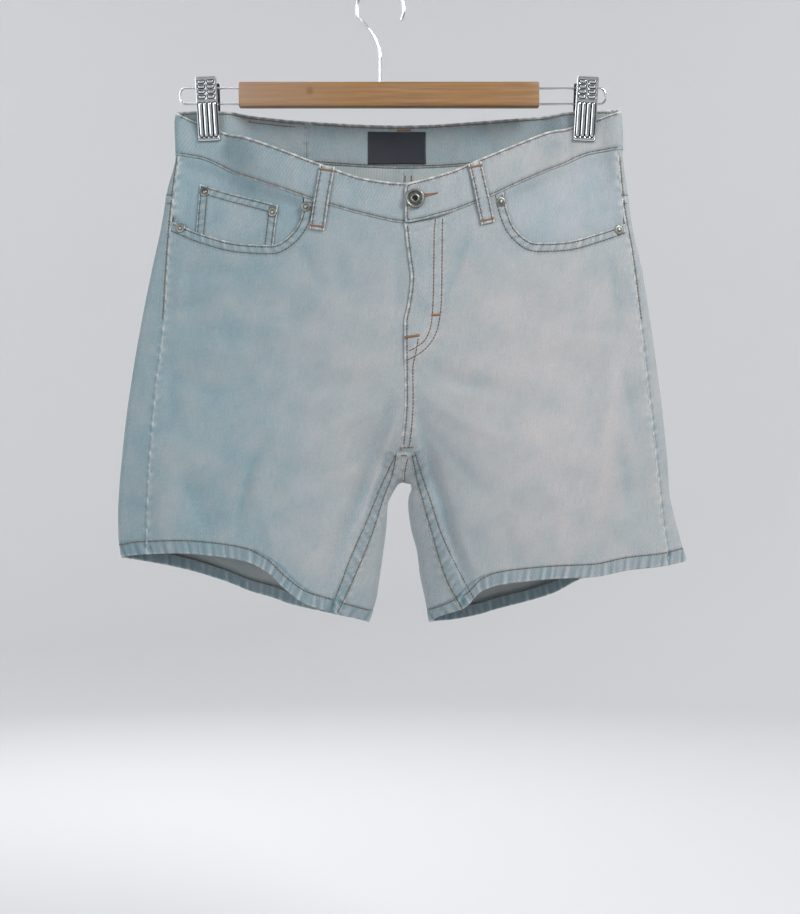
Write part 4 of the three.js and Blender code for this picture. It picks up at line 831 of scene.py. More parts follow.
coin_top = np.array([(-185.5, -69.5), (-111.5, -93.5)])
coin_foot = np.array([(-189, -124.5), (-116.5, -137.5)])
coin_edges = [coin_top, np.array([coin_top[0], coin_foot[0]]), np.array([coin_top[1], coin_foot[1]])]
coin_seams = [seam(FRONT, edge, (1.7, 7.6), 8.6, 0.2, 0.14, 7, 0.4, edge=0.5,
                   worn=0.9) for edge in coin_edges]
share = steps((0.02, 3), (0.15, 9), (0.85, 26), (0.98, 9), (1, 3))[:, None, None]
down = steps((0.03, 3), (0.2, 9), (1, 26))[None, :, None]
grid = mix(mix(coin_top[0], coin_top[1], share), mix(coin_foot[0], coin_foot[1], share), down)
coin_pocket = cloth("coin_pocket_denim",
                    [patch("right", FRONT, grid[..., 0], grid[..., 1], coin_seams, 0.9, -1.6)],
                    washed_denim, "coin_pocket")
coin_middle = (-150, -106)
coin_rows = []
for edge in coin_edges:
    for away in (1.7, 7.6):
        start, end = beside(edge, away, coin_middle)
        trimmed = np.array([mix(start, end, 0.02), mix(start, end, 0.98)])
        coin_rows.append([(FRONT, trimmed)])
sew("stitches_coin_pocket", coin_rows, coin_seams, out=-1.6, pitch=2.9)


# The two back panels. Each wraps from the side seam on the front round the outer fold and over the seat,
# and below the crotch round the leg's inner fold to the inseam. The seat seam is felled and double sewn.
YOKE_AT_SIDE = -82.0
BACK_X = (-209, -169, -87, 3, 99, 160, 207)
back_top = curve(BACK_X, (-0.5, -0.6, -5.6, -8.4, -3.8, -1.2, 2))
back_seam = curve(BACK_X, (-42, -43, -45, -48.8, -44.6, -41, -38))
yoke_seam = curve(BACK_X, (-81, -87, -98, -113, -96, -87, -81))
centre_back = curve((0, -300, -346.3), (3, 3, 2.2))
centre_back_below = curve((-318, -334, -346.3), (7, 3, 2.2))
STRIP_SHARES = np.array([1, 0.985, 0.955, 0.92, 0.88, 0.84, 0.79, 0.73, 0.66, 0.59, 0.52, 0.45, 0.38, 0.31,
                         0.25,
                         0.19, 0.14, 0.1, 0.065, 0.036, 0.016, 0.004])
BACK_SHARES = np.concatenate([
    [0.0005, 0.002, 0.005, 0.0095, 0.0155, 0.023, 0.032, 0.042], np.linspace(0.053, 0.935, 78),
    [0.941, 0.947, 0.953, 0.959, 0.965, 0.971, 0.977, 0.983, 0.988, 0.992, 0.9953, 0.9977, 0.9992, 1],
])
around_face = np.concatenate([np.full(len(STRIP_SHARES), FRONT), [FOLD],
                              np.full(len(BACK_SHARES), BACK)])[:, None]


def around(half, z):
    """Where each column round a half of the back lies: the strip on the front from the side seam to the
    outer fold, the fold, and the back to the seat seam or the leg's inner fold."""
    gap = SIGN[half] * SEAM_GAP
    fold = outline[half](z)
    end = np.where(z < CROTCH_Z, arch[half](np.minimum(z, CROTCH_Z)), centre_back(z) + gap)
    count = len(STRIP_SHARES)
    strip = fold[:count] + STRIP_SHARES[:, None] * (side_seam[half](z) + gap - fold)[:count]
    back = mix(fold[count + 1:], end[count + 1:], BACK_SHARES[:, None])
    return np.concatenate([strip, fold[count:count + 1], back])


def height_of(front, back):
    """An edge's height in each column round the back: the front's, the back's, or between them on the fold."""
    def height(x):
        return np.where(around_face == FRONT, front(x), np.where(around_face == BACK, back(x),
                                                                (front(x) + back(x)) / 2))
    return height


def level(x):
    return np.full(np.shape(x), YOKE_AT_SIDE)


back_seams, sewn_back, back_panels = {}, {}, {}
for half, sign in SIGN.items():
    gap = sign * SEAM_GAP
    hem_fold = float(settle(lambda z: outline[half](z),
                            lambda x: (hem_front[half](x) + hem_back[half](x)) / 2, -417.0))
    hem_ends = {FRONT: side_seam[half](-416.0), BACK: arch[half](-476.0)}
    hem_lines = {}
    for face, hem in ((FRONT, hem_front[half]), (BACK, hem_back[half])):
        x = mix(float(outline[half](hem_fold)), float(hem_ends[face]), np.linspace(0, 1, 110))
        hem_lines[face] = np.column_stack([x, hem(x)])
    inner_x = np.linspace(float(arch[half](-476.0)), float(inseam[half](-470.0)), 12)
    inner_hem = np.column_stack([inner_x, hem_front[half](inner_x)])
    side_z = np.linspace(-84, -416, 60)
    side_line = np.column_stack([side_seam[half](side_z), side_z])
    seat_z = np.linspace(-110, -345, 60)
    seat_line = np.column_stack([centre_back(seat_z), seat_z])
    below_z = np.linspace(-318, -345.5, 10)
    below_line = np.column_stack([centre_back_below(below_z), below_z])
    leg_z = np.linspace(-318.3, -474, 50)
    inseam_line = np.column_stack([inseam[half](leg_z), leg_z])
    yoke_x = np.linspace(float(outline[half](-82.0)), 3.0, 90)
    yoke_line = np.column_stack([yoke_x, yoke_seam(yoke_x)])
    back_seams[half] = [
        seam(FRONT, hem_lines[FRONT], (12.0,), 11.6, 0.25, 0.42, 7.2, 0.25, edge=1.3, worn=1.0, blue=0.42),
        seam(BACK, hem_lines[BACK], (12.0,), 11.6, 0.25, 0.42, 7.2, 0.25, edge=1.3, worn=1.0, blue=0.42),
        seam(FRONT, inner_hem, (12.0,), 11.6, 0.25, 0.42, 7.2, 0.25, edge=1.3, worn=1.0, blue=0.42),
        seam(FRONT, side_line, (2.4,), 4.6, 0.1, 0.3, 9, 0.4, edge=0.2, worn=0.8, blue=0.1),
        seam(BACK, seat_line, SEAM_ROWS if half == "left" else (), 9, 0.4 if half == "left" else 0.1, 0.25,
             8,
             0.5, edge=0.6, worn=0.7),
        seam(FRONT, below_line, (), 0, 0, 0.2, 7, 0.3, edge=0.6, worn=0.6),
        seam(FRONT, inseam_line, (), 0, 0, 0.25, 8.5, 0.3, edge=0.6, worn=0.4),
        seam(BACK, yoke_line, (5.5,), 6.6, 0.35, 0.22, 8, 0.4, edge=0.6, worn=0.6),
    ]
    yoke_strip_x = np.linspace(float(outline[half](-82.0)), float(side_seam[half](-82.0)), 6)[:-1]
    side_rows_z = np.linspace(-43, -195, 60)
    side_row = np.column_stack([side_seam[half](side_rows_z) + sign * 2.4, side_rows_z])
    row_z = float(settle(lambda z: outline[half](z),
                         lambda x: (hem_front[half](x) + hem_back[half](x)) / 2 + 12, -405))
    hem_rows = {}
    for face, hem in ((FRONT, hem_front[half]), (BACK, hem_back[half])):
        x = mix(float(outline[half](row_z)), float(hem_ends[face]), np.linspace(0, 1, 110))
        hem_rows[face] = np.column_stack([x, mix(row_z, hem(x) + 12, smooth(0, 14, np.abs(x - x[0])))])
    sewn_back[half] = [
        [(FRONT, inner_hem[::-1][2:] + [0, 12.0]), (BACK, hem_rows[BACK][::-1]),
         (FRONT, hem_rows[FRONT][:-4])],
        [(FRONT, side_row[side_rows_z < -84])],
        [(FRONT, np.column_stack([yoke_strip_x[::-1][:-1], yoke_strip_x[::-1][:-1] * 0 - 87.6])),
         (BACK, yoke_line[1:] - [0, 5.5])],
    ]
    if half == "left":
        sewn_back[half] += [[(BACK, seat_line + [away, 0])] for away in SEAM_ROWS]
        sewn_back[half] += [[(FRONT, [(0.4, -321.2), (8.6, -321.2)])],
                            [(FRONT, (below_line + [1.8, 0])[2:])]]

    face = around_face
    start = np.full(face.shape, -85.0)
    last_top = float(yoke_seam(3.0)) - SEAM_GAP
    last_foot = float(settle(lambda z: arch[half](z), hem_back[half], -476.0))
    length = last_foot + HEM_DEPTH - last_top
    above = steps((1.2, 3), (10, 8), (219, 80), (225.5, 3), (229.6, 3), (231.7, 3), (232.6, 2))
    crotch_at = last_top - CROTCH_Z
    above = above[above < crotch_at - 0.2]
    below = steps((0.6, 3), (3, 4), (9, 5), (-length - crotch_at, 38))
    rows = np.concatenate([above, crotch_at + below]) / -length
    top = settle(lambda z: around(half, z), height_of(level, yoke_seam), start) - SEAM_GAP
    foot = settle(lambda z: around(half, z), height_of(hem_front[half], hem_back[half]), start - 330)
    up = steps((1.5, 4), (11.9, 12))[::-1]
    z = np.concatenate([mix(top, foot + HEM_DEPTH, rows), foot + up], axis=1)
    x = around(half, z)
    faces = np.broadcast_to(face, z.shape).copy()
    faces[-1, z[-1] <= CROTCH_Z + 1e-6] = FOLD
    thick = mix(CLOTH, HEM_THICK, 1 - smooth(HEM_DEPTH - 0.3, HEM_DEPTH + 0.3, z - foot))
    reverse = smooth(HEM_DEPTH - 0.3, HEM_DEPTH, z - foot)
    outer_patch = patch(half, faces, x, z, back_seams[half], thick, reverse=reverse)

    first_below = len(above)
    fold_x, fold_z = x[-1, first_below:], z[-1, first_below:]
    inseam_foot = float(settle(lambda z: inseam[half](z) - gap, hem_front[half], -476.0))
    share = np.array([0, 0.004, 0.016, 0.036, 0.065, 0.1, 0.15, 0.21, 0.28, 0.36, 0.44, 0.52, 0.6, 0.68,
                      0.76, 0.83,
                      0.89, 0.94, 0.975, 1])[:, None]
    above_z = np.linspace(-313.5, -346.0, 20)[None, :] + 0 * share
    above_x = mix(centre_back_below(np.minimum(above_z, -318)) + gap,
                  inseam[half](np.minimum(above_z, -318)) - gap,
                  share)
    fallen = np.clip((fold_z - CROTCH_Z) / (fold_z[-1] - CROTCH_Z), 0, 1)
    below_z = fold_z + share * (inseam_foot - fold_z[-1]) * fallen
    curved = share ** mix(1.0, 1.8, smooth(0, 20, CROTCH_Z - fold_z))
    below_x = mix(fold_x, inseam[half](below_z) - gap, curved)
    x, z = np.concatenate([above_x, below_x], axis=1), np.concatenate([above_z, below_z], axis=1)
    faces = np.full(x.shape, FRONT)
    faces[0, above_z.shape[1]:] = FOLD
    thick = np.broadcast_to(np.concatenate([np.full(above_z.shape[1], CLOTH), thick[-1, first_below:]]),
                            x.shape)
    tucked = -1.35 * smooth(-319.6, -317.4, z)
    reverse = np.append(np.ones(above_z.shape[1]), reverse[-1, first_below:])
    inner_patch = patch(half, faces, x, z, back_seams[half], thick, tucked, wrapped=True, reverse=reverse)
    back_panels[half] = cloth(f"back_{half}_denim", [outer_patch, inner_patch], washed_denim, f"back_{half}")
    sew(f"stitches_back_{half}", sewn_back[half], back_seams[half])
    sew(f"stitches_hem_inside_{half}", [[(BACK, hem_rows[BACK][6:-6] - [0, 0.9])]], [], out=-HEM_THICK - 0.1,
        tone=0.4, inward=-1.0)
    hem_x = np.linspace(side_seam[half](-414.0), sign * 58, 90)
    sew(f"stitches_hem_front_{half}", [[(FRONT, np.column_stack([hem_x, hem_front[half](hem_x) + 12.0]))]],
        front_seams[half])


# The yokes, the shaped band of denim between the waistband and the back panels, felled over the panels
# with two rows of stitches along the yoke seam.
for half, sign in SIGN.items():
    yoke_x = np.linspace(float(outline[half](-82.0)), 3.0, 90)
    yoke_line = np.column_stack([yoke_x, yoke_seam(yoke_x)])
    strip_x = np.linspace(float(outline[half](-82.0)), float(side_seam[half](-82.0)), 8)
    strip_line = np.column_stack([strip_x, 0 * strip_x + YOKE_AT_SIDE])
    side_z = np.linspace(-44, -81, 12)
    side_line = np.column_stack([side_seam[half](side_z), side_z])
    seat_z = np.linspace(-48, -112, 20)
    seat_line = np.column_stack([centre_back(seat_z), seat_z])
    yoke_seams = [
        seam(BACK, yoke_line, (1.9,), 3.0, 0.4, 0.22, 8, 0.4, edge=0.6, worn=0.7),
        seam(FRONT, strip_line, (1.9,), 3.0, 0.4, 0.22, 8, 0.4, edge=0.6, worn=0.7),
        seam(FRONT, side_line, (2.4,), 4.6, 0.1, 0.3, 9, 0.4, edge=0.2, worn=0.8, blue=0.1),
        seam(BACK, seat_line, SEAM_ROWS if half == "left" else (), 9, 0.4, 0.22, 8, 0.5, edge=0.6, worn=0.6),
    ]
    start = np.full(around_face.shape, -60.0)
    top = settle(lambda z: around(half, z), height_of(front_seam, back_seam), start) - SEAM_GAP
    foot = settle(lambda z: around(half, z), height_of(level, yoke_seam), start) + SEAM_GAP
    share = np.concatenate([np.linspace(0, 0.75, 20), np.linspace(0.78, 1, 14)])
    z = mix(top, foot, share[None, :])
    cloth(f"yoke_{half}_denim", [patch(half, around_face, around(half, z), z, yoke_seams)],
                        washed_denim, f"yoke_{half}")
    side_row = np.column_stack([side_seam[half](side_z) + sign * 2.4, side_z])
    rows = [
        [(FRONT, np.column_stack([strip_x[::-1][1:-1], 0 * strip_x[1:-1] + YOKE_AT_SIDE + 1.9])),
         (BACK, yoke_line[1:] + [0, 1.9])],
        [(FRONT, side_row)],
    ]
    if half == "left":
        rows += [[(BACK, seat_line + [away, 0])] for away in SEAM_ROWS]
    sew(f"stitches_yoke_{half}", rows, yoke_seams)
    if half == "left":
        inner_rows = [[(BACK, seat_line[2:] + [away, 0])] for away in SEAM_ROWS]
        sew("stitches_yoke_inside", inner_rows, [], out=-CLOTH - 0.1, tone=0.5, inward=-1.0)


# The two back pockets, plain pointed patches of the same denim with a turned hem at the top, sewn down
# with double rows.
for half, sign in SIGN.items():
    across = steps((0.04, 3), (0.3, 9), (1.7, 40), (1.96, 9), (2, 3))[:, None] - 1
    down = steps((0.02, 4), (0.14, 8), (0.9, 36), (1, 6))[None, :]
    foot = -252 - 17 * (1 - np.abs(across))
    x = sign * 98 + across * mix(66, 57, down)
    z = mix(-128, foot, down)
    sides = [np.array([(sign * 98 + way * 66, -128), (sign * 98 + way * 57, -252)]) for way in (-1, 1)]
    points = [np.array([(sign * 98 + way * 57, -252), (sign * 98, -269)]) for way in (-1, 1)]
    top_edge = np.array([(sign * 98 - 66, -128), (sign * 98 + 66, -128)])
    pocket_seams = [seam(BACK, edge, (1.8, 7.8), 8.6, 0.2, 0.16, 7.5, 0.4, edge=0.6, worn=0.9)
                    for edge in sides + points]
    pocket_seams.append(seam(BACK, top_edge, (2.0, 11.0), 12, 0.4, 0.2, 8, 0.3, edge=0.6, worn=0.9))
    cloth(
        f"back_pocket_{half}_denim", [patch(half, BACK, x, z, pocket_seams, 1.2, 1.7)], washed_denim,
        f"back_pocket_{half}")
    rows = [[(BACK, beside(edge, away, (sign * 98, -190)))] for edge in sides + points for away in (1.8,
                                                                                                    7.8)]
    rows += [[(BACK, beside(top_edge, away, (sign * 98, -190)))] for away in (2.0, 11.0)]
    bars = [(BACK, (sign * 98 + way * 62.5, -131.5), (2.4, 0), 3.4) for way in (-1, 1)]
    sew(f"stitches_back_pocket_{half}", rows, pocket_seams, out=1.7, bars=bars)


# The waistband, one long strip of doubled denim in two lengths joined behind on the right, sewn over the
# panels' top edges. The wearer's left end laps over the right one at the centre front, under the button.
BAND_OUT, BAND_THICK, JOIN_X = 0.8, 3.0, -88.7
band_centre = float(centre_front(front_seam(0.0)))
waistbands, band_seams = {}, {}
for half, sign in SIGN.items():
    fold_top = float(settle(lambda z: outline[half](z), lambda x: (front_top(x) + back_top(x)) / 2, 0.0))
    front_end = band_centre + (28 if half == "right" else 0.4)
    back_end = JOIN_X + sign * SEAM_GAP
    from_edge = steps((0.1, 1), (0.4, 1), (0.9, 1), (1.6, 1), (2.5, 1), (3.6, 1), (5, 1), (6.6, 1))

    def band_steps(end):
        length = abs(float(outline[half](-25.0)) - end)
        return np.concatenate([from_edge[1:], np.linspace(8.3, length - 8, int((length - 16) / 1.7))])

    front_steps, back_steps = band_steps(front_end), band_steps(back_end)
    tail = np.array([6.5, 5.5, 4.5, 3.5, 2.6, 1.8, 1.1, 0.6, 0.25, 0.07, 0.0])
    band_face = np.concatenate([
        np.full(len(tail) + len(front_steps), FRONT), [FOLD],
        np.full(len(back_steps) + len(tail), BACK)])[:, None]

    def band_across(z):
        """Columns of a band: from its front end to the outer fold, and on to the join behind."""
        fold = outline[half](z)
        n, m = len(tail), len(front_steps)
        parts = [front_end + sign * tail[::-1][:, None] + 0 * fold[:n],
                 fold[n:n + m] - sign * front_steps[::-1][:, None],
                 fold[n + m:n + m + 1],
                 fold[n + m + 1:n + m + 1 + len(back_steps)] - sign * back_steps[:, None],
                 back_end + sign * tail[:, None] + 0 * fold[:len(tail)]]
        return np.concatenate(parts)

    def band_height(front, back):
        def height(x):
            between = (front(x) + back(x)) / 2
            return np.where(band_face == FRONT, front(x), np.where(band_face == BACK, back(x), between))
        return height

    start = np.full(band_face.shape, -20.0)
    top = settle(band_across, band_height(front_top, back_top), start)
    foot = settle(band_across, band_height(front_seam, back_seam), start) + SEAM_GAP
    share = np.concatenate([[0, 0.008, 0.02, 0.036, 0.055], np.linspace(0.08, 0.92, 25),
                            [0.945, 0.964, 0.98, 0.992, 1]])[None, :]
    if half == "left":
        round_top = np.clip(1 - (band_across(top) - front_end) / 5.5, 0, 1) * (band_face == FRONT)
        top = top - 5.5 * (1 - np.sqrt(1 - round_top ** 2))
        round_foot = np.clip(1 - (band_across(foot) - front_end) / 3.0, 0, 1) * (band_face == FRONT)
        foot = foot + 3.0 * (1 - np.sqrt(1 - round_foot ** 2))
    z = mix(top, foot, share)
    x = band_across(z)
    lines = {}
    for face, edge, base, end in ((FRONT, front_top, front_seam, front_end),
                                  (BACK, back_top, back_seam, back_end)):
        fold_x = float(outline[half](fold_top))
        line_x = np.linspace(fold_x, end, 140)
        lines[face] = (np.column_stack([line_x, edge(line_x)]), np.column_stack([line_x, base(line_x)]))
    end_line = np.array([(front_end, float(front_top(front_end))),
                         (front_end, float(front_seam(front_end)))])
    edge_line, foot_row = lines[FRONT][0], lines[FRONT][1] + [0, 2.2]
    if half == "left":
        turn = np.linspace(0, math.pi / 2, 9)[:, None]
        arc = end_line[0] + np.hstack([5.5 - 5.5 * np.sin(turn), 5.5 * np.cos(turn) - 5.5])
        edge_line = np.concatenate([edge_line[edge_line[:, 0] > front_end + 5.5], arc,
                                    end_line[1:] + [0, 1.0]])
    join_line = np.array([(back_end, float(back_top(back_end))), (back_end, float(back_seam(back_end)))])
    band_seams[half] = [
        seam(FRONT, edge_line, (2.2,), 3.6, 0.1, 0.2, 9, 0.4, edge=1.4, worn=1.2, blue=0.1),
        seam(FRONT, lines[FRONT][1], (2.2,), 3.4, 0.1, 0.22, 8, 0.4, edge=1.1, worn=0.5),
        seam(BACK, lines[BACK][0], (2.2,), 3.6, 0.1, 0.2, 9, 0.4, edge=1.4, worn=1.2, blue=0.1),
        seam(BACK, lines[BACK][1], (2.2,), 3.4, 0.1, 0.22, 8, 0.4, edge=1.1, worn=0.5),
        seam(BACK, join_line, (1.6,), 0, 0, 0.15, 8, 0.4, edge=0.8, worn=0.5),
    ]
    over = (band_face == FRONT) & (half == "left")
    lap = np.where(over, 3.3 * (1 - smooth(0, 17, x - band_centre - 31)), 0)
    band_edge = np.where(band_face == FRONT, front_top(x), back_top(x))
    waistbands[half] = cloth(
        f"waistband_{half}_denim",
        [patch(half, band_face, x, z, band_seams[half], BAND_THICK, BAND_OUT + lap, top=band_edge,
               reverse=0.15)],
        washed_denim, f"waistband_{half}")

    def band_out(x, z):
        return BAND_OUT + 3.3 * (1 - smooth(0, 17, x - band_centre - 31)) * (half == "left")

    rows = []
    top_row = lines[FRONT][0] + [0, -2.2]
    if half == "left":
        arc = end_line[0] + np.hstack([5.5 - 3.3 * np.sin(turn), 3.3 * np.cos(turn) - 5.5])
        foot_arc = end_line[1] + np.hstack([4.4 - 2.2 * np.cos(turn), 4.4 - 2.2 * np.sin(turn)])
        top_row = np.concatenate([top_row[top_row[:, 0] > front_end + 6], arc, foot_arc])
        foot_row = foot_row[foot_row[:, 0] > front_end + 5]
    sew(f"stitches_waistband_front_{half}", [[(FRONT, top_row[2:])], [(FRONT, foot_row[2:])]],
        band_seams[half],
        out=band_out, tone=0.45)
    back_rows = [[(BACK, (lines[BACK][0] + [0, -2.2])[2:])], [(BACK, (lines[BACK][1] + [0, 2.2])[2:])]]
    sew(f"stitches_waistband_back_{half}", back_rows, band_seams[half], out=BAND_OUT)
    inside_rows = [[(BACK, (lines[BACK][0] + [0, -2.8])[4:-2])], [(BACK, (lines[BACK][1] + [0, 2.6])[4:-2])]]
    if half == "right":
        inside_rows.append([(BACK, (lines[BACK][0] + [0, -6.2])[75:128])])
    inside_bars = [(BACK, (3.5, -13.2), (6.4, 0), 0.9)] if half == "left" else []
    sew(f"stitches_waistband_inside_{half}", inside_rows, [], out=BAND_OUT - BAND_THICK - 0.15, tone=0.6,
        bars=inside_bars, inward=-1.0)


# Five belt loops, straps of folded denim with two rows of stitches along them and a bartack at each end.
LOOPS = [
    ("front_right", "right", FRONT, (-65.4, -59.8), (-75.0, -117.0), 6.9),
    ("front_left", "left", FRONT, (67.0, -56.4), (79.6, -111.0), 6.2),
    ("side_right", "right", BACK, (-116.0, -3.6), (-119.0, -61.5), 6.4),
    ("side_left", "left", BACK, (119.0, -3.0), (122.0, -61.0), 6.4),
    ("back", "left", BACK, (3.0, -8.6), (3.0, -67.0), 6.4),
]
loop_bow = curve((0, 0.12, 0.35, 0.62, 0.78, 1), (1.15, 1.5, 2.1, 1.7, 0.8, 0.5))
LOOP_THICK = 1.7
for name, half, face, head, tail_end, half_wide in LOOPS:
    head, tail_end = np.array(head), np.array(tail_end)
    way = (tail_end - head) / np.hypot(*(tail_end - head))
    aside = np.array([-way[1], way[0]])
    length = np.hypot(*(tail_end - head))
    across = np.array([-1, -0.97, -0.9, -0.8, -0.66, -0.5, -0.25, 0, 0.25, 0.5, 0.66, 0.8, 0.9, 0.97, 1])
    along = steps((0.02, 3), (0.98, 46), (1, 3))
    spot = head + along[None, :, None] * (tail_end - head) + across[:, None, None] * half_wide * aside
    sides = [np.array([head + w * half_wide * aside, tail_end + w * half_wide * aside]) for w in (-1, 1)]
    ends = [np.array([end - half_wide * aside, end + half_wide * aside]) for end in (head, tail_end)]
    loop_seams = [seam(face, edge, (1.9,), 2.6, 0.15, 0.1, 6, 0.5, edge=0.7, worn=0.9) for edge in sides]
    loop_seams += [seam(face, edge, (), 0, 0, 0.05, 6, 0.4, edge=0.6, worn=0.9) for edge in ends]
    rise = np.broadcast_to(loop_bow(along)[None, :], spot.shape[:2])
    cloth(
        f"belt_loop_{name}_denim",
        [patch(half, face, spot[..., 0], spot[..., 1], loop_seams, LOOP_THICK, rise + LOOP_THICK)],
        washed_denim, f"belt_loop_{name}")

    def loop_out(x, z):
        share = ((x - head[0]) * way[0] + (z - head[1]) * way[1]) / length
        return loop_bow(np.clip(share, 0, 1)) + LOOP_THICK

    rows = [[(face, np.array([head, tail_end]) + w * (half_wide - 1.9) * aside)] for w in (-1, 1)]
    bars = [(face, tuple(end + back * way), tuple(aside * (half_wide - 0.6)), 0.8)
            for end, back in ((head, 3.6), (tail_end, -3.2))]
    sew(f"stitches_belt_loop_{name}", rows, loop_seams, out=loop_out, bars=bars)


# The plain woven label inside the back waistband: dark navy satin ribbon with folded ends, sewn down by
# its edges.
def label_finish():
    """Navy woven ribbon: fine ribs across it and a faint sheen."""
    material, tree, shader = finish_named("navy_ribbon", 0.55)
    weave = node(tree, "ShaderNodeAttribute", attribute_name="weave").outputs["Vector"]
    ribs = node(tree, "ShaderNodeTexWave", {"Vector": weave, "Scale": 0.5, "Distortion": 0.4, "Detail": 1.0},
                bands_direction="Y").outputs["Fac"]
    fleck = node(tree, "ShaderNodeTexNoise", {"Vector": weave, "Scale": 2.0, "Detail": 2.0}).outputs["Fac"]
    base = blended(tree, fleck, colour(8, 14, 24), colour(22, 31, 46))
    tree.links.new(base, shader.inputs["Base Color"])
    height = maths(tree, "MULTIPLY_ADD", ribs, 0.6, fleck)
    bump = node(tree, "ShaderNodeBump", {"Height": height, "Strength": 0.5, "Distance": 0.0002})
    tree.links.new(bump.outputs[0], shader.inputs["Normal"])
    shader.inputs["Sheen Weight"].default_value = 0.2
    return material


across = steps((0.03, 3), (0.97, 40), (1, 3))[:, None]
down = steps((0.04, 3), (0.96, 26), (1, 3))[None, :]
corners = np.array([[(-30.7, -14.4), (-30.3, -45.1)], [(24.0, -14.8), (24.6, -44.7)]])
grid = mix(mix(corners[0, 0], corners[1, 0], across[..., None]),
           mix(corners[0, 1], corners[1, 1], across[..., None]),
           down[..., None])
label_edges = [corners[:, 0], corners[:, 1], corners[0], corners[1]]
label_seams = [seam(BACK, edge, (1.2,), 3.5, -0.12, 0.05, 9, 0.2, edge=0.25, worn=0) for edge in label_edges]
label = cloth("label_ribbon", [patch(None, BACK, grid[..., 0], grid[..., 1], label_seams, 0.6, -2.5)],
              label_finish(), "label")


# The shank button and six rivets of dark nickel. The button is a pressed cap with a raised rim and a hollow
# middle, and each rivet a dome with a pip, hammered through the cloth.
def nickel_finish(name, dark, light):
    """Antique nickel: bright where it is rubbed, dark in its hollows, with fine scratches."""
    material, tree, shader = finish_named(name, 0.38, 0.9)
    place = node(tree, "ShaderNodeTexCoord").outputs["Object"]
    stain = node(tree, "ShaderNodeTexNoise", {"Vector": place, "Scale": 420.0, "Detail": 4.0}).outputs["Fac"]
    hollow = node(tree, "ShaderNodeAttribute", attribute_name="rubbed").outputs["Fac"]
    share = maths(tree, "MULTIPLY_ADD", stain, 0.5, maths(tree, "MULTIPLY_ADD", hollow, 0.9, -0.25),
                  clamped=True)
    tree.links.new(blended(tree, share, dark, light), shader.inputs["Base Color"])
    rough = maths(tree, "MULTIPLY_ADD", stain, 0.3, 0.25)
    tree.links.new(rough, shader.inputs["Roughness"])
    bump = node(tree, "ShaderNodeBump", {"Height": stain, "Strength": 0.25, "Distance": 0.0002})
    tree.links.new(bump.outputs[0], shader.inputs["Normal"])
    return material


def turned(name, profile, x, z, rise, sides, material, nodes):
    """A profile of (radius, height, rubbed) turned about the cloth's outward direction at a point."""
    profile = np.array(profile)
    at, normal = surface(np.array([FRONT]), np.array([x]), np.array([z]))[0], outward(
        FRONT, np.array([x]), np.array([z]))[0]
    side = np.cross(normal, [0, 0, 1.0])
    side /= np.linalg.norm(side)
    up = np.cross(side, normal)
    turn = 2 * np.pi * np.arange(sides) / sides
    ring = np.cos(turn)[:, None] * side + np.sin(turn)[:, None] * up
    inner = profile[1:-1]
    points = at + normal * rise + inner[:, 0][:, None, None] * ring + inner[:, 1][:, None, None] * normal
    points = np.concatenate([points.reshape(-1, 3), [at + normal * (rise + profile[0, 1])],
                             [at + normal * (rise + profile[-1, 1])]])
    here, after = np.arange(sides), (np.arange(sides) + 1) % sides
    faces = []
    for k in range(len(inner) - 1):
        faces += np.column_stack([here + k * sides, here + (k + 1) * sides, after + (k + 1) * sides,
                                  after + k * sides])[:, ::-1].tolist()
    base, crown, top_ring = len(points) - 2, len(points) - 1, (len(inner) - 1) * sides
    faces += np.column_stack([np.full(sides, base), here, after])[:, ::-1].tolist()
    faces += np.column_stack([np.full(sides, crown), after + top_ring, here + top_ring])[:, ::-1].tolist()
    rubbed = np.concatenate([np.repeat(inner[:, 2], sides), [0.0, profile[-1, 2]]])
    made = make_mesh(name, points, faces, material, sharp=60, rubbed=rubbed)
    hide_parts(*nodes)
    return made


dark_nickel = nickel_finish("dark_nickel", colour(46, 48, 44), colour(150, 152, 146))
BUTTON_PROFILE = [
    (0, 0, 0), (7.8, 0, 0), (8.4, 0.5, 0.2), (8.7, 1.3, 0.6), (8.6, 2.1, 0.8), (8.3, 2.8, 1), (7.9, 3.15, 1),
    (7.5, 3.2, 1), (7.1, 3.1, 0.8), (6.7, 2.8, 0.4), (6.3, 2.55, 0.25), (5.6, 2.5, 0.3), (4.6, 2.55, 0.35),
    (3.8, 2.6, 0.4), (3.4, 2.8, 0.8), (3.1, 2.95, 1), (2.7, 2.9, 0.8), (2.4, 2.5, 0.2), (2.1, 1.7, 0),
    (1.4, 1.5, 0),
    (0, 1.5, 0),
]
button = turned("button_cap", BUTTON_PROFILE, 13.3, -89.9, 4.4, 64, dark_nickel, ["button"])
RIVET_PROFILE = [
    (0, 0, 0), (4.2, 0, 0), (4.5, 0.2, 0.5), (4.4, 0.5, 0.8), (3.9, 0.8, 0.9), (3.2, 0.95, 0.6),
    (2.5, 0.9, 0.3),
    (2.0, 0.9, 0.2), (1.7, 1.1, 0.5), (1.3, 1.4, 0.9), (0.7, 1.5, 1), (0, 1.52, 1),
]
RIVETS = [
    ("mouth_right_side", -202.4, -111.6, 0.0), ("mouth_right_front", -85.2, -96.0, 0.0),
    ("coin_side", -180.6, -77.2, -1.6), ("coin_front", -116.2, -99.6, -1.6),
    ("mouth_left_front", 91.4, -91.2, 0.0),
    ("mouth_left_side", 202.0, -113.0, 0.0),
]
for name, x, z, on in RIVETS:
    turned(f"rivet_{name}_cap", RIVET_PROFILE, x, z, on + 0.45, 40, dark_nickel, [f"rivet_{name}"])

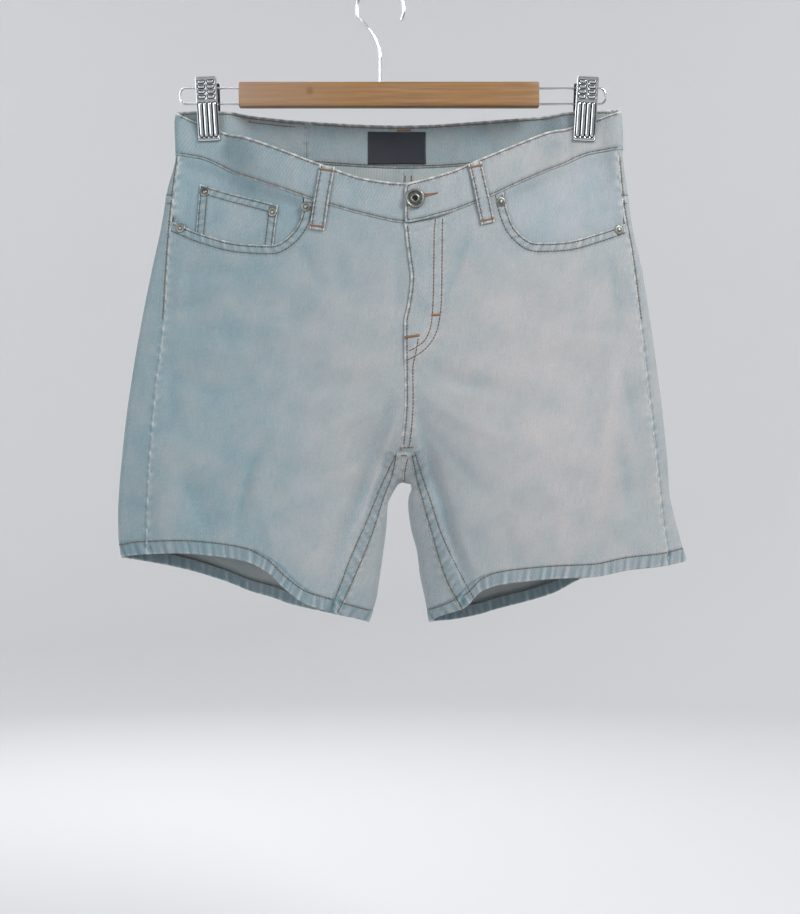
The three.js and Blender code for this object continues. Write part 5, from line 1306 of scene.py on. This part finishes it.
# The buttonhole, a slit worked round with close rust-coloured thread, runs from the button to the left.
slit = through([(15.0, -88.6), (24.0, -86.6), (34.0, -84.4)], 0.45)
taper = np.linspace(2.3, 0.4, len(slit))[:, None]
ring = np.concatenate([beside(slit, taper, (20, 0)), beside(slit, taper, (20, -200))[::-1]])
heart = np.concatenate([slit, slit[::-1]])
here = np.full(len(ring), FRONT)
lap_out = BAND_OUT + 3.3 + 0.1
hole_normal = outward(FRONT, ring[:, 0], ring[:, 1])
hole_start = surface(here, ring[:, 0], ring[:, 1]) + hole_normal * lap_out
hole_end = surface(here, heart[:, 0], heart[:, 1]) + hole_normal * lap_out
threads("stitches_buttonhole", hole_start, mix(hole_start, hole_end, 0.85), hole_normal,
        np.full(len(ring), 0.8), 0.34)


# The hanger's bar, a straight length of waxed beech with rounded edges, drilled for the hook's stem and for
# the four wire ends.
def wood_finish():
    """Oiled beech: long grain lines that wander, darker latewood, short rays and a satin skin."""
    material, tree, shader = finish_named("oiled_beech", 0.42)
    place = node(tree, "ShaderNodeTexCoord").outputs["Object"]
    long = node(tree, "ShaderNodeMapping", {0: place, "Scale": (2.2, 60, 60)}).outputs[0]
    grain = node(tree, "ShaderNodeTexNoise", {"Vector": long, "Scale": 6.0, "Detail": 6.0,
                                              "Roughness": 0.62, "Distortion": 0.6}).outputs["Fac"]
    fine = node(tree, "ShaderNodeMapping", {0: place, "Scale": (14, 420, 420)}).outputs[0]
    pores = node(tree, "ShaderNodeTexNoise", {"Vector": fine, "Scale": 5.0, "Detail": 3.0}).outputs["Fac"]
    broad = node(tree, "ShaderNodeTexNoise", {"Vector": place, "Scale": 9.0, "Detail": 2.0}).outputs["Fac"]
    contrast = node(tree, "ShaderNodeMapRange", {0: grain, 1: 0.34, 2: 0.66}).outputs[0]
    base = blended(tree, contrast, colour(118, 84, 50), colour(154, 120, 84))
    base = blended(tree, maths(tree, "MULTIPLY_ADD", broad, 1.6, -0.5, clamped=True), base,
                   colour(142, 104, 62))
    across = node(tree, "ShaderNodeSeparateXYZ", {0: place}).outputs[0]
    end = node(tree, "ShaderNodeMapRange", {0: across, 1: -0.02, 2: -0.13}).outputs[0]
    base = blended(tree, maths(tree, "MULTIPLY", end, 0.6), base, colour(154, 128, 108))
    knot_place = node(tree, "ShaderNodeMapping", {0: place, "Location": (0.0655, 0, 0.0975)}).outputs[0]
    knot = node(tree, "ShaderNodeVectorMath", {0: knot_place}, operation="LENGTH").outputs["Value"]
    knot = node(tree, "ShaderNodeMapRange", {0: knot, 1: 0.0075, 2: 0.006}).outputs[0]
    base = blended(tree, maths(tree, "MULTIPLY", knot, 0.5), base, colour(96, 64, 38))
    shade = maths(tree, "MULTIPLY_ADD", pores, 0.34, 0.82)
    tree.links.new(blended(tree, 1.0, base, shade, "MULTIPLY"), shader.inputs["Base Color"])
    bump = node(tree, "ShaderNodeBump", {"Height": pores, "Strength": 0.25, "Distance": 0.0003})
    tree.links.new(bump.outputs[0], shader.inputs["Normal"])
    return material


def drawn(sections, closed_ends=True):
    """Faces of a tube through rings of points: sections is an array of rings, each a closed ring."""
    rings, sides = sections.shape[:2]
    here, after = np.arange(sides), (np.arange(sides) + 1) % sides
    faces = []
    for k in range(rings - 1):
        faces += np.column_stack([here + k * sides, after + k * sides, after + (k + 1) * sides,
                                  here + (k + 1) * sides]).tolist()
    if closed_ends:
        faces += [here[::-1].tolist(), (here + (rings - 1) * sides).tolist()]
    return faces


NOWHERE = np.zeros(3)
BAR_X, BAR_Z, BAR_THICK = (-131.6, 147.4), (-112.0, -88.7), 12.0
turn = np.linspace(0, 2 * np.pi, 97)[:-1]
inset = np.array([1.3, 0.85, 0.5, 0.25, 0.1, 0])
end_x = np.array([0, 0.12, 0.3, 0.55, 0.85, 1.3])
stations = np.concatenate([BAR_X[0] + end_x, np.linspace(BAR_X[0] + 12, BAR_X[1] - 12, 40),
                           BAR_X[1] - end_x[::-1]])
insets = np.concatenate([inset, np.zeros(40), inset[::-1]])
sections = []
for x, drop in zip(stations, insets):
    half_y, half_z, power = BAR_THICK / 2 - drop, (BAR_Z[1] - BAR_Z[0]) / 2 - drop, 8.0
    c, s = np.cos(turn), np.sin(turn)
    size = (np.abs(c) ** power + np.abs(s) ** power) ** (-1 / power)
    ring_y, ring_z = c * size * half_y, s * size * half_z
    sections.append(np.column_stack([np.full(96, x), ring_y, ring_z + sum(BAR_Z) / 2]))
sections = np.array(sections)
bar = make_mesh("hanger_bar_beech", sections.reshape(-1, 3), drawn(sections), wood_finish(), at=NOWHERE,
                sharp=40)
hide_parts("hanger_bar")


# The hook and the two wire loops, bright chromed steel wire bent to shape and pushed into the bar.
def chrome_finish():
    """Chrome plate with a fine haze and slight unevenness, and painted shade: a dark grey blended in where the
    hollow attribute is high, in the clips' grooves, on their jaws' inner faces and on their coils.
    """
    material, tree, shader = finish_named("bright_chrome", 0.1, 1.0)
    place = node(tree, "ShaderNodeTexCoord").outputs["Object"]
    haze = node(tree, "ShaderNodeTexNoise", {"Vector": place, "Scale": 160.0, "Detail": 4.0}).outputs["Fac"]
    tree.links.new(maths(tree, "MULTIPLY_ADD", haze, 0.22, 0.06), shader.inputs["Roughness"])
    # Painted shade: where the hollow attribute is high the plate turns dark grey.
    hollow = node(tree, "ShaderNodeAttribute", attribute_name="hollow").outputs["Fac"]
    plate = blended(tree, haze, colour(206, 209, 212), colour(238, 240, 242))
    tree.links.new(blended(tree, hollow, plate, colour(52, 58, 60)), shader.inputs["Base Color"])
    bump = node(tree, "ShaderNodeBump", {"Height": haze, "Strength": 0.15, "Distance": 0.0002})
    tree.links.new(bump.outputs[0], shader.inputs["Normal"])
    return material


def wire(name, path, radius, material, *nodes):
    """A round wire along a path that lies in the hanger's plane, with rounded ends."""
    path = np.array(path, float)
    way = np.gradient(path, axis=0)
    way /= np.linalg.norm(way, axis=1, keepdims=True)
    rounding = np.array([0.25, 0.7, 0.95])
    start = [path[0] - way[0] * radius * math.sqrt(1 - r * r) for r in rounding]
    end = [path[-1] + way[-1] * radius * math.sqrt(1 - r * r) for r in rounding[::-1]]
    path = np.concatenate([start, path, end])
    radii = np.concatenate([rounding, np.ones(len(way)), rounding[::-1]]) * radius
    way = np.concatenate([np.repeat(way[:1], 3, 0), way, np.repeat(way[-1:], 3, 0)])
    normal = np.column_stack([-way[:, 2], np.zeros(len(way)), way[:, 0]])
    turn = 2 * np.pi * np.arange(24) / 24
    ring = np.cos(turn)[None, :, None] * normal[:, None, :] + np.sin(turn)[None, :,
                                                                           None] * np.array([0, 1.0, 0])
    sections = path[:, None, :] + ring * radii[:, None, None]
    made = make_mesh(name, sections.reshape(-1, 3), drawn(sections), material, at=NOWHERE, sharp=60)
    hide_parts(*nodes)
    return made


bright_chrome = chrome_finish()
HOOK_STEM = [(0, -103), (0, -84), (0, -66), (-3.2, -52), (-9.8, -39.9), (-17.6, -31)]
bend = [(22 * math.cos(math.radians(a)), -20.6 + 22 * math.sin(math.radians(a)))
        for a in np.arange(190, -25.001, -21.5)]
hook_line = through(HOOK_STEM + bend, 1.6)
wire("hook_wire", np.column_stack([hook_line[:, 0], 0 * hook_line[:, 0], hook_line[:, 1]]), 1.4,
     bright_chrome, "hook")
for half, sign, bar_end, far in (("right", -1, BAR_X[0], -187.4), ("left", 1, BAR_X[1], 210.1)):
    upper, lower, corner, tip = -94.2, -108.7, 5.0, far - sign * 1.0
    quarter = np.linspace(0, math.pi / 2, 9)
    rail_points = [(bar_end - sign * 8, upper), (bar_end, upper)]
    rail_points += [(x, upper) for x in np.linspace(bar_end, tip - sign * corner, 14)[1:-1]]
    rail_points += [(tip - sign * corner + sign * corner * math.sin(a),
                     upper - corner + corner * math.cos(a))
                    for a in quarter]
    rail_points += [(tip - sign * corner + sign * corner * math.cos(a),
                     lower + corner - corner * math.sin(a))
                    for a in quarter]
    rail_points += [(x, lower) for x in np.linspace(tip - sign * corner, bar_end, 14)[1:]]
    rail_points.append((bar_end - sign * 8, lower))
    rail_line = np.array(rail_points)
    wire(f"rail_{half}_wire", np.column_stack([rail_line[:, 0], 0 * rail_line[:, 0], rail_line[:, 1]]), 1.0,
         bright_chrome, f"rail_{half}")


# The two clips, each a pair of pressed steel jaws, chromed, that a coiled spring on the wire loop closes.
# Each jaw has four long flutes with arched tops, two columns of pressed ovals and a rolled lip.
CLIP_Z, CLIP_FOOT, CLIP_TOP, CLIP_HALF, CLIP_TILT = -101.45, -42.2, 14.9, 10.0, 2.6
FLUTES, OVAL_X, OVAL_Z = (-6.6, -2.2, 2.2, 6.6), (-4.3, 4.3), (-3.0, 1.5, 6.0, 10.5)


def jaw_inner(z):
    """How far a jaw's inner face lies from the clip's middle plane."""
    return mix(3.6, 14.0, (z - CLIP_FOOT) / (CLIP_TOP - CLIP_FOOT))


def jaw_outer(x, z):
    """A jaw's outer face: the plate, the lip's bead, flutes that end in arches, and raised oval rings."""
    out = jaw_inner(z) + 1.3
    bead = np.clip(1 - ((z - CLIP_FOOT - 1.1) / 1.4) ** 2, 0, 1)
    out = out + 0.9 * np.sqrt(bead)
    for flute in FLUTES:
        arch_z = np.maximum(0, np.maximum(z + 9.6, -36.8 - z))
        far = np.hypot(x - flute, arch_z)
        out = out + 1.1 * np.sqrt(np.clip(1 - (far / 1.7) ** 2, 0,
                                          1)) - 0.5 * np.exp(-(((far - 2.2) / 0.4) ** 2))
    for oval_x in OVAL_X:
        for oval_z in OVAL_Z:
            far = np.hypot(np.maximum(0, np.abs(x - oval_x) - 1.9), z - oval_z)
            out = out + 0.9 * np.sqrt(np.clip(1 - (far / 1.3) ** 2, 0,
                                              1)) - 0.4 * np.exp(-(((far - 1.7) / 0.35) ** 2))
    rim = np.clip(1 - (CLIP_HALF - np.abs(x)) / 0.7, 0, 1)
    return out - 0.5 * rim ** 2


def jaw_groove_shade(x, z):
    """How far a place lies in the grooves round the flutes and the ovals, from 0 to 1, for the painted shade
    that darkens them.
    """
    hollow = np.zeros(x.shape)
    for flute in FLUTES:
        far = np.hypot(x - flute, np.maximum(0, np.maximum(z + 9.6, -36.8 - z)))
        hollow = np.maximum(hollow, np.exp(-(((far - 2.15) / 0.5) ** 4)))
    for oval_x in OVAL_X:
        for oval_z in OVAL_Z:
            far = np.hypot(np.maximum(0, np.abs(x - oval_x) - 1.9), z - oval_z)
            hollow = np.maximum(hollow, np.exp(-(((far - 1.6) / 0.45) ** 4)))
    return hollow


clip_across = np.concatenate([[-10, -9.9, -9.7, -9.4], np.linspace(-9.1, 9.1, 91), [9.4, 9.7, 9.9, 10]])
clip_up = np.concatenate([CLIP_FOOT + np.linspace(0, 3.2, 14), np.linspace(-38.6, -3.2, 60),
                          np.linspace(-2.9, CLIP_TOP, 64)])
for half, lip_x in (("right", -176.8 + 18.1), ("left", 170.8 + 18.1)):
    points, faces, hollow = [], [], []
    count = 0
    x, z = np.meshgrid(clip_across, clip_up, indexing="ij")
    for side in (-1, 1):
        taper = np.where(z > CLIP_TOP - 3, 1 - 0.05 * ((z - CLIP_TOP + 3) / 3) ** 2, 1)
        outer = np.stack([x * taper, side * jaw_outer(x, z), z], axis=-1)
        inner = np.stack([x * taper, side * jaw_inner(z), z], axis=-1)
        n, m = x.shape
        index = np.arange(n * m).reshape(n, m)
        quads = np.stack([index[:-1, :-1], index[1:, :-1], index[1:, 1:], index[:-1, 1:]], -1).reshape(-1, 4)
        if side > 0:
            quads = quads[:, ::-1]
        edges = np.concatenate([quads[:, [i, (i + 1) % 4]] for i in range(4)])
        forward, backward = edges[:, 0] * n * m + edges[:, 1], edges[:, 1] * n * m + edges[:, 0]
        a, b = edges[~np.isin(forward, backward)].T
        walls = np.stack([b, a, a + n * m, b + n * m], axis=1)
        jaw = np.concatenate([quads, quads[:, ::-1] + n * m, walls]) + count
        points += [outer.reshape(-1, 3), inner.reshape(-1, 3)]
        # Painted shade: the grooves by their depth, and 0.9 on each jaw's inner face.
        hollow += [jaw_groove_shade(x, z).ravel(), np.full(n * m, 0.9)]
        faces += jaw.tolist()
        count += 2 * n * m
    coil_x = np.linspace(-7.5, 7.5, 121)
    coil_r = 5.0 + 0.75 * np.sqrt(np.maximum(0, 1 - ((coil_x / 1.5 + 0.5) % 1 * 2 - 1) ** 2))
    coil_turn = 2 * np.pi * np.arange(32) / 32
    coil = np.stack([coil_x[:, None] + 0 * coil_turn, coil_r[:, None] * np.cos(coil_turn),
                     coil_r[:, None] * np.sin(coil_turn)], axis=-1)
    points.append(coil.reshape(-1, 3))
    # Painted shade of 0.5 on the coil.
    hollow.append(np.full(121 * 32, 0.5))
    faces += [[corner + count for corner in face] for face in drawn(coil)]
    points = np.concatenate(points)
    tilt = math.radians((-1 if half == "right" else 1) * CLIP_TILT)
    points[:, 2] -= CLIP_FOOT
    points = np.column_stack([points[:, 0] * math.cos(tilt) + points[:, 2] * math.sin(tilt), points[:, 1],
                              -points[:, 0] * math.sin(tilt) + points[:, 2] * math.cos(tilt)])
    at = np.array([lip_x, 0, CLIP_Z + CLIP_FOOT])
    made = make_mesh(f"clip_{half}_chrome", points, faces, bright_chrome, at=at, sharp=45,
                     hollow=np.concatenate(hollow))
    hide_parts(f"clip_{half}")


for half in SIGN:
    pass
for name, half, _, _, _, half_wide in LOOPS:
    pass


# The photographer's studio: a pale floor that curves up into a pale wall all round, a soft key light from
# above the camera and to its right, a broader, weaker fill from the left, a light from behind, a light on each
# side for the wall, and the camera level with the garment's middle.
def studio_bowl():
    """A turned surface: level out to 2.3 m, then a quarter round up to a wall, and a soft ceiling edge."""
    rise = np.linspace(0, math.pi / 2, 24)
    radius = np.concatenate([[0.02, 0.8, 1.6], 2.3 + 1.1 * np.sin(rise), [3.4, 3.4]])
    height = np.concatenate([[0, 0, 0], 1.1 * (1 - np.cos(rise)), [2.4, 3.6]])
    turn = np.linspace(0, 2 * np.pi, 97)[:-1]
    ring = np.stack([radius[:, None] * np.cos(turn), radius[:, None] * np.sin(turn),
                     height[:, None] + 0 * turn], axis=-1)
    return ring[::-1]


paper, tree, shader = finish_named("pale_paper", 0.9)
shader.inputs["Base Color"].default_value = colour(200, 201, 203)
sections = studio_bowl()
mesh = bpy.data.meshes.new("studio")
mesh.from_pydata((sections.reshape(-1, 3) + [0.018, 0, -1.02]).tolist(), [], drawn(sections, False))
mesh.materials.append(paper)
mesh.shade_smooth()
studio = bpy.data.objects.new("studio", mesh)
bpy.context.scene.collection.objects.link(studio)


def soft_light(name, place, aim, size, watts, tint):
    """A square area light at a place, turned to face a point."""
    data = bpy.data.lights.new(name, "AREA")
    data.shape, data.size, data.energy, data.color = "SQUARE", size, watts, tint
    lamp = bpy.data.objects.new(name, data)
    lamp.location = place
    way = np.array(aim) - np.array(place)
    lamp.rotation_euler[0] = math.pi - math.acos(way[2] / np.linalg.norm(way))
    lamp.rotation_euler[2] = math.atan2(way[1], way[0]) - math.pi / 2
    bpy.context.scene.collection.objects.link(lamp)


middle = (0.018, 0, -0.42)
soft_light("key", (1.2, -1.2, 0.85), middle, 0.75, 36, (1.0, 0.985, 0.97))
soft_light("fill", (-1.4, -1.6, 0.15), middle, 1.4, 20, (0.95, 0.98, 1.0))
soft_light("back", (-0.6, 1.5, 0.7), middle, 1.0, 24, (1.0, 1.0, 1.0))
soft_light("wall_right", (2.1, 0.6, 1.3), (1.2, 3.4, 0.0), 1.0, 34, (1.0, 1.0, 1.0))
soft_light("wall_left", (-2.1, 0.6, 1.3), (-1.2, 3.4, 0.0), 1.0, 34, (1.0, 1.0, 1.0))
world = bpy.data.worlds.new("studio_air")
world.use_nodes = True
world.node_tree.nodes["Background"].inputs["Color"].default_value = (0.93, 0.96, 1.0, 1)
world.node_tree.nodes["Background"].inputs["Strength"].default_value = 0.34
bpy.context.scene.world = world
bpy.context.scene.view_settings.view_transform = "Standard"

camera_data = bpy.data.cameras.new("camera")
camera_data.sensor_width, camera_data.lens = 36.0, 63.5
camera_data.clip_start, camera_data.clip_end = 0.05, 30
camera = bpy.data.objects.new("camera", camera_data)
camera.location = (0.0181, -1.5, -0.437)
camera.rotation_euler = (math.pi / 2, 0, 0)
bpy.context.scene.collection.objects.link(camera)
bpy.context.scene.camera = camera
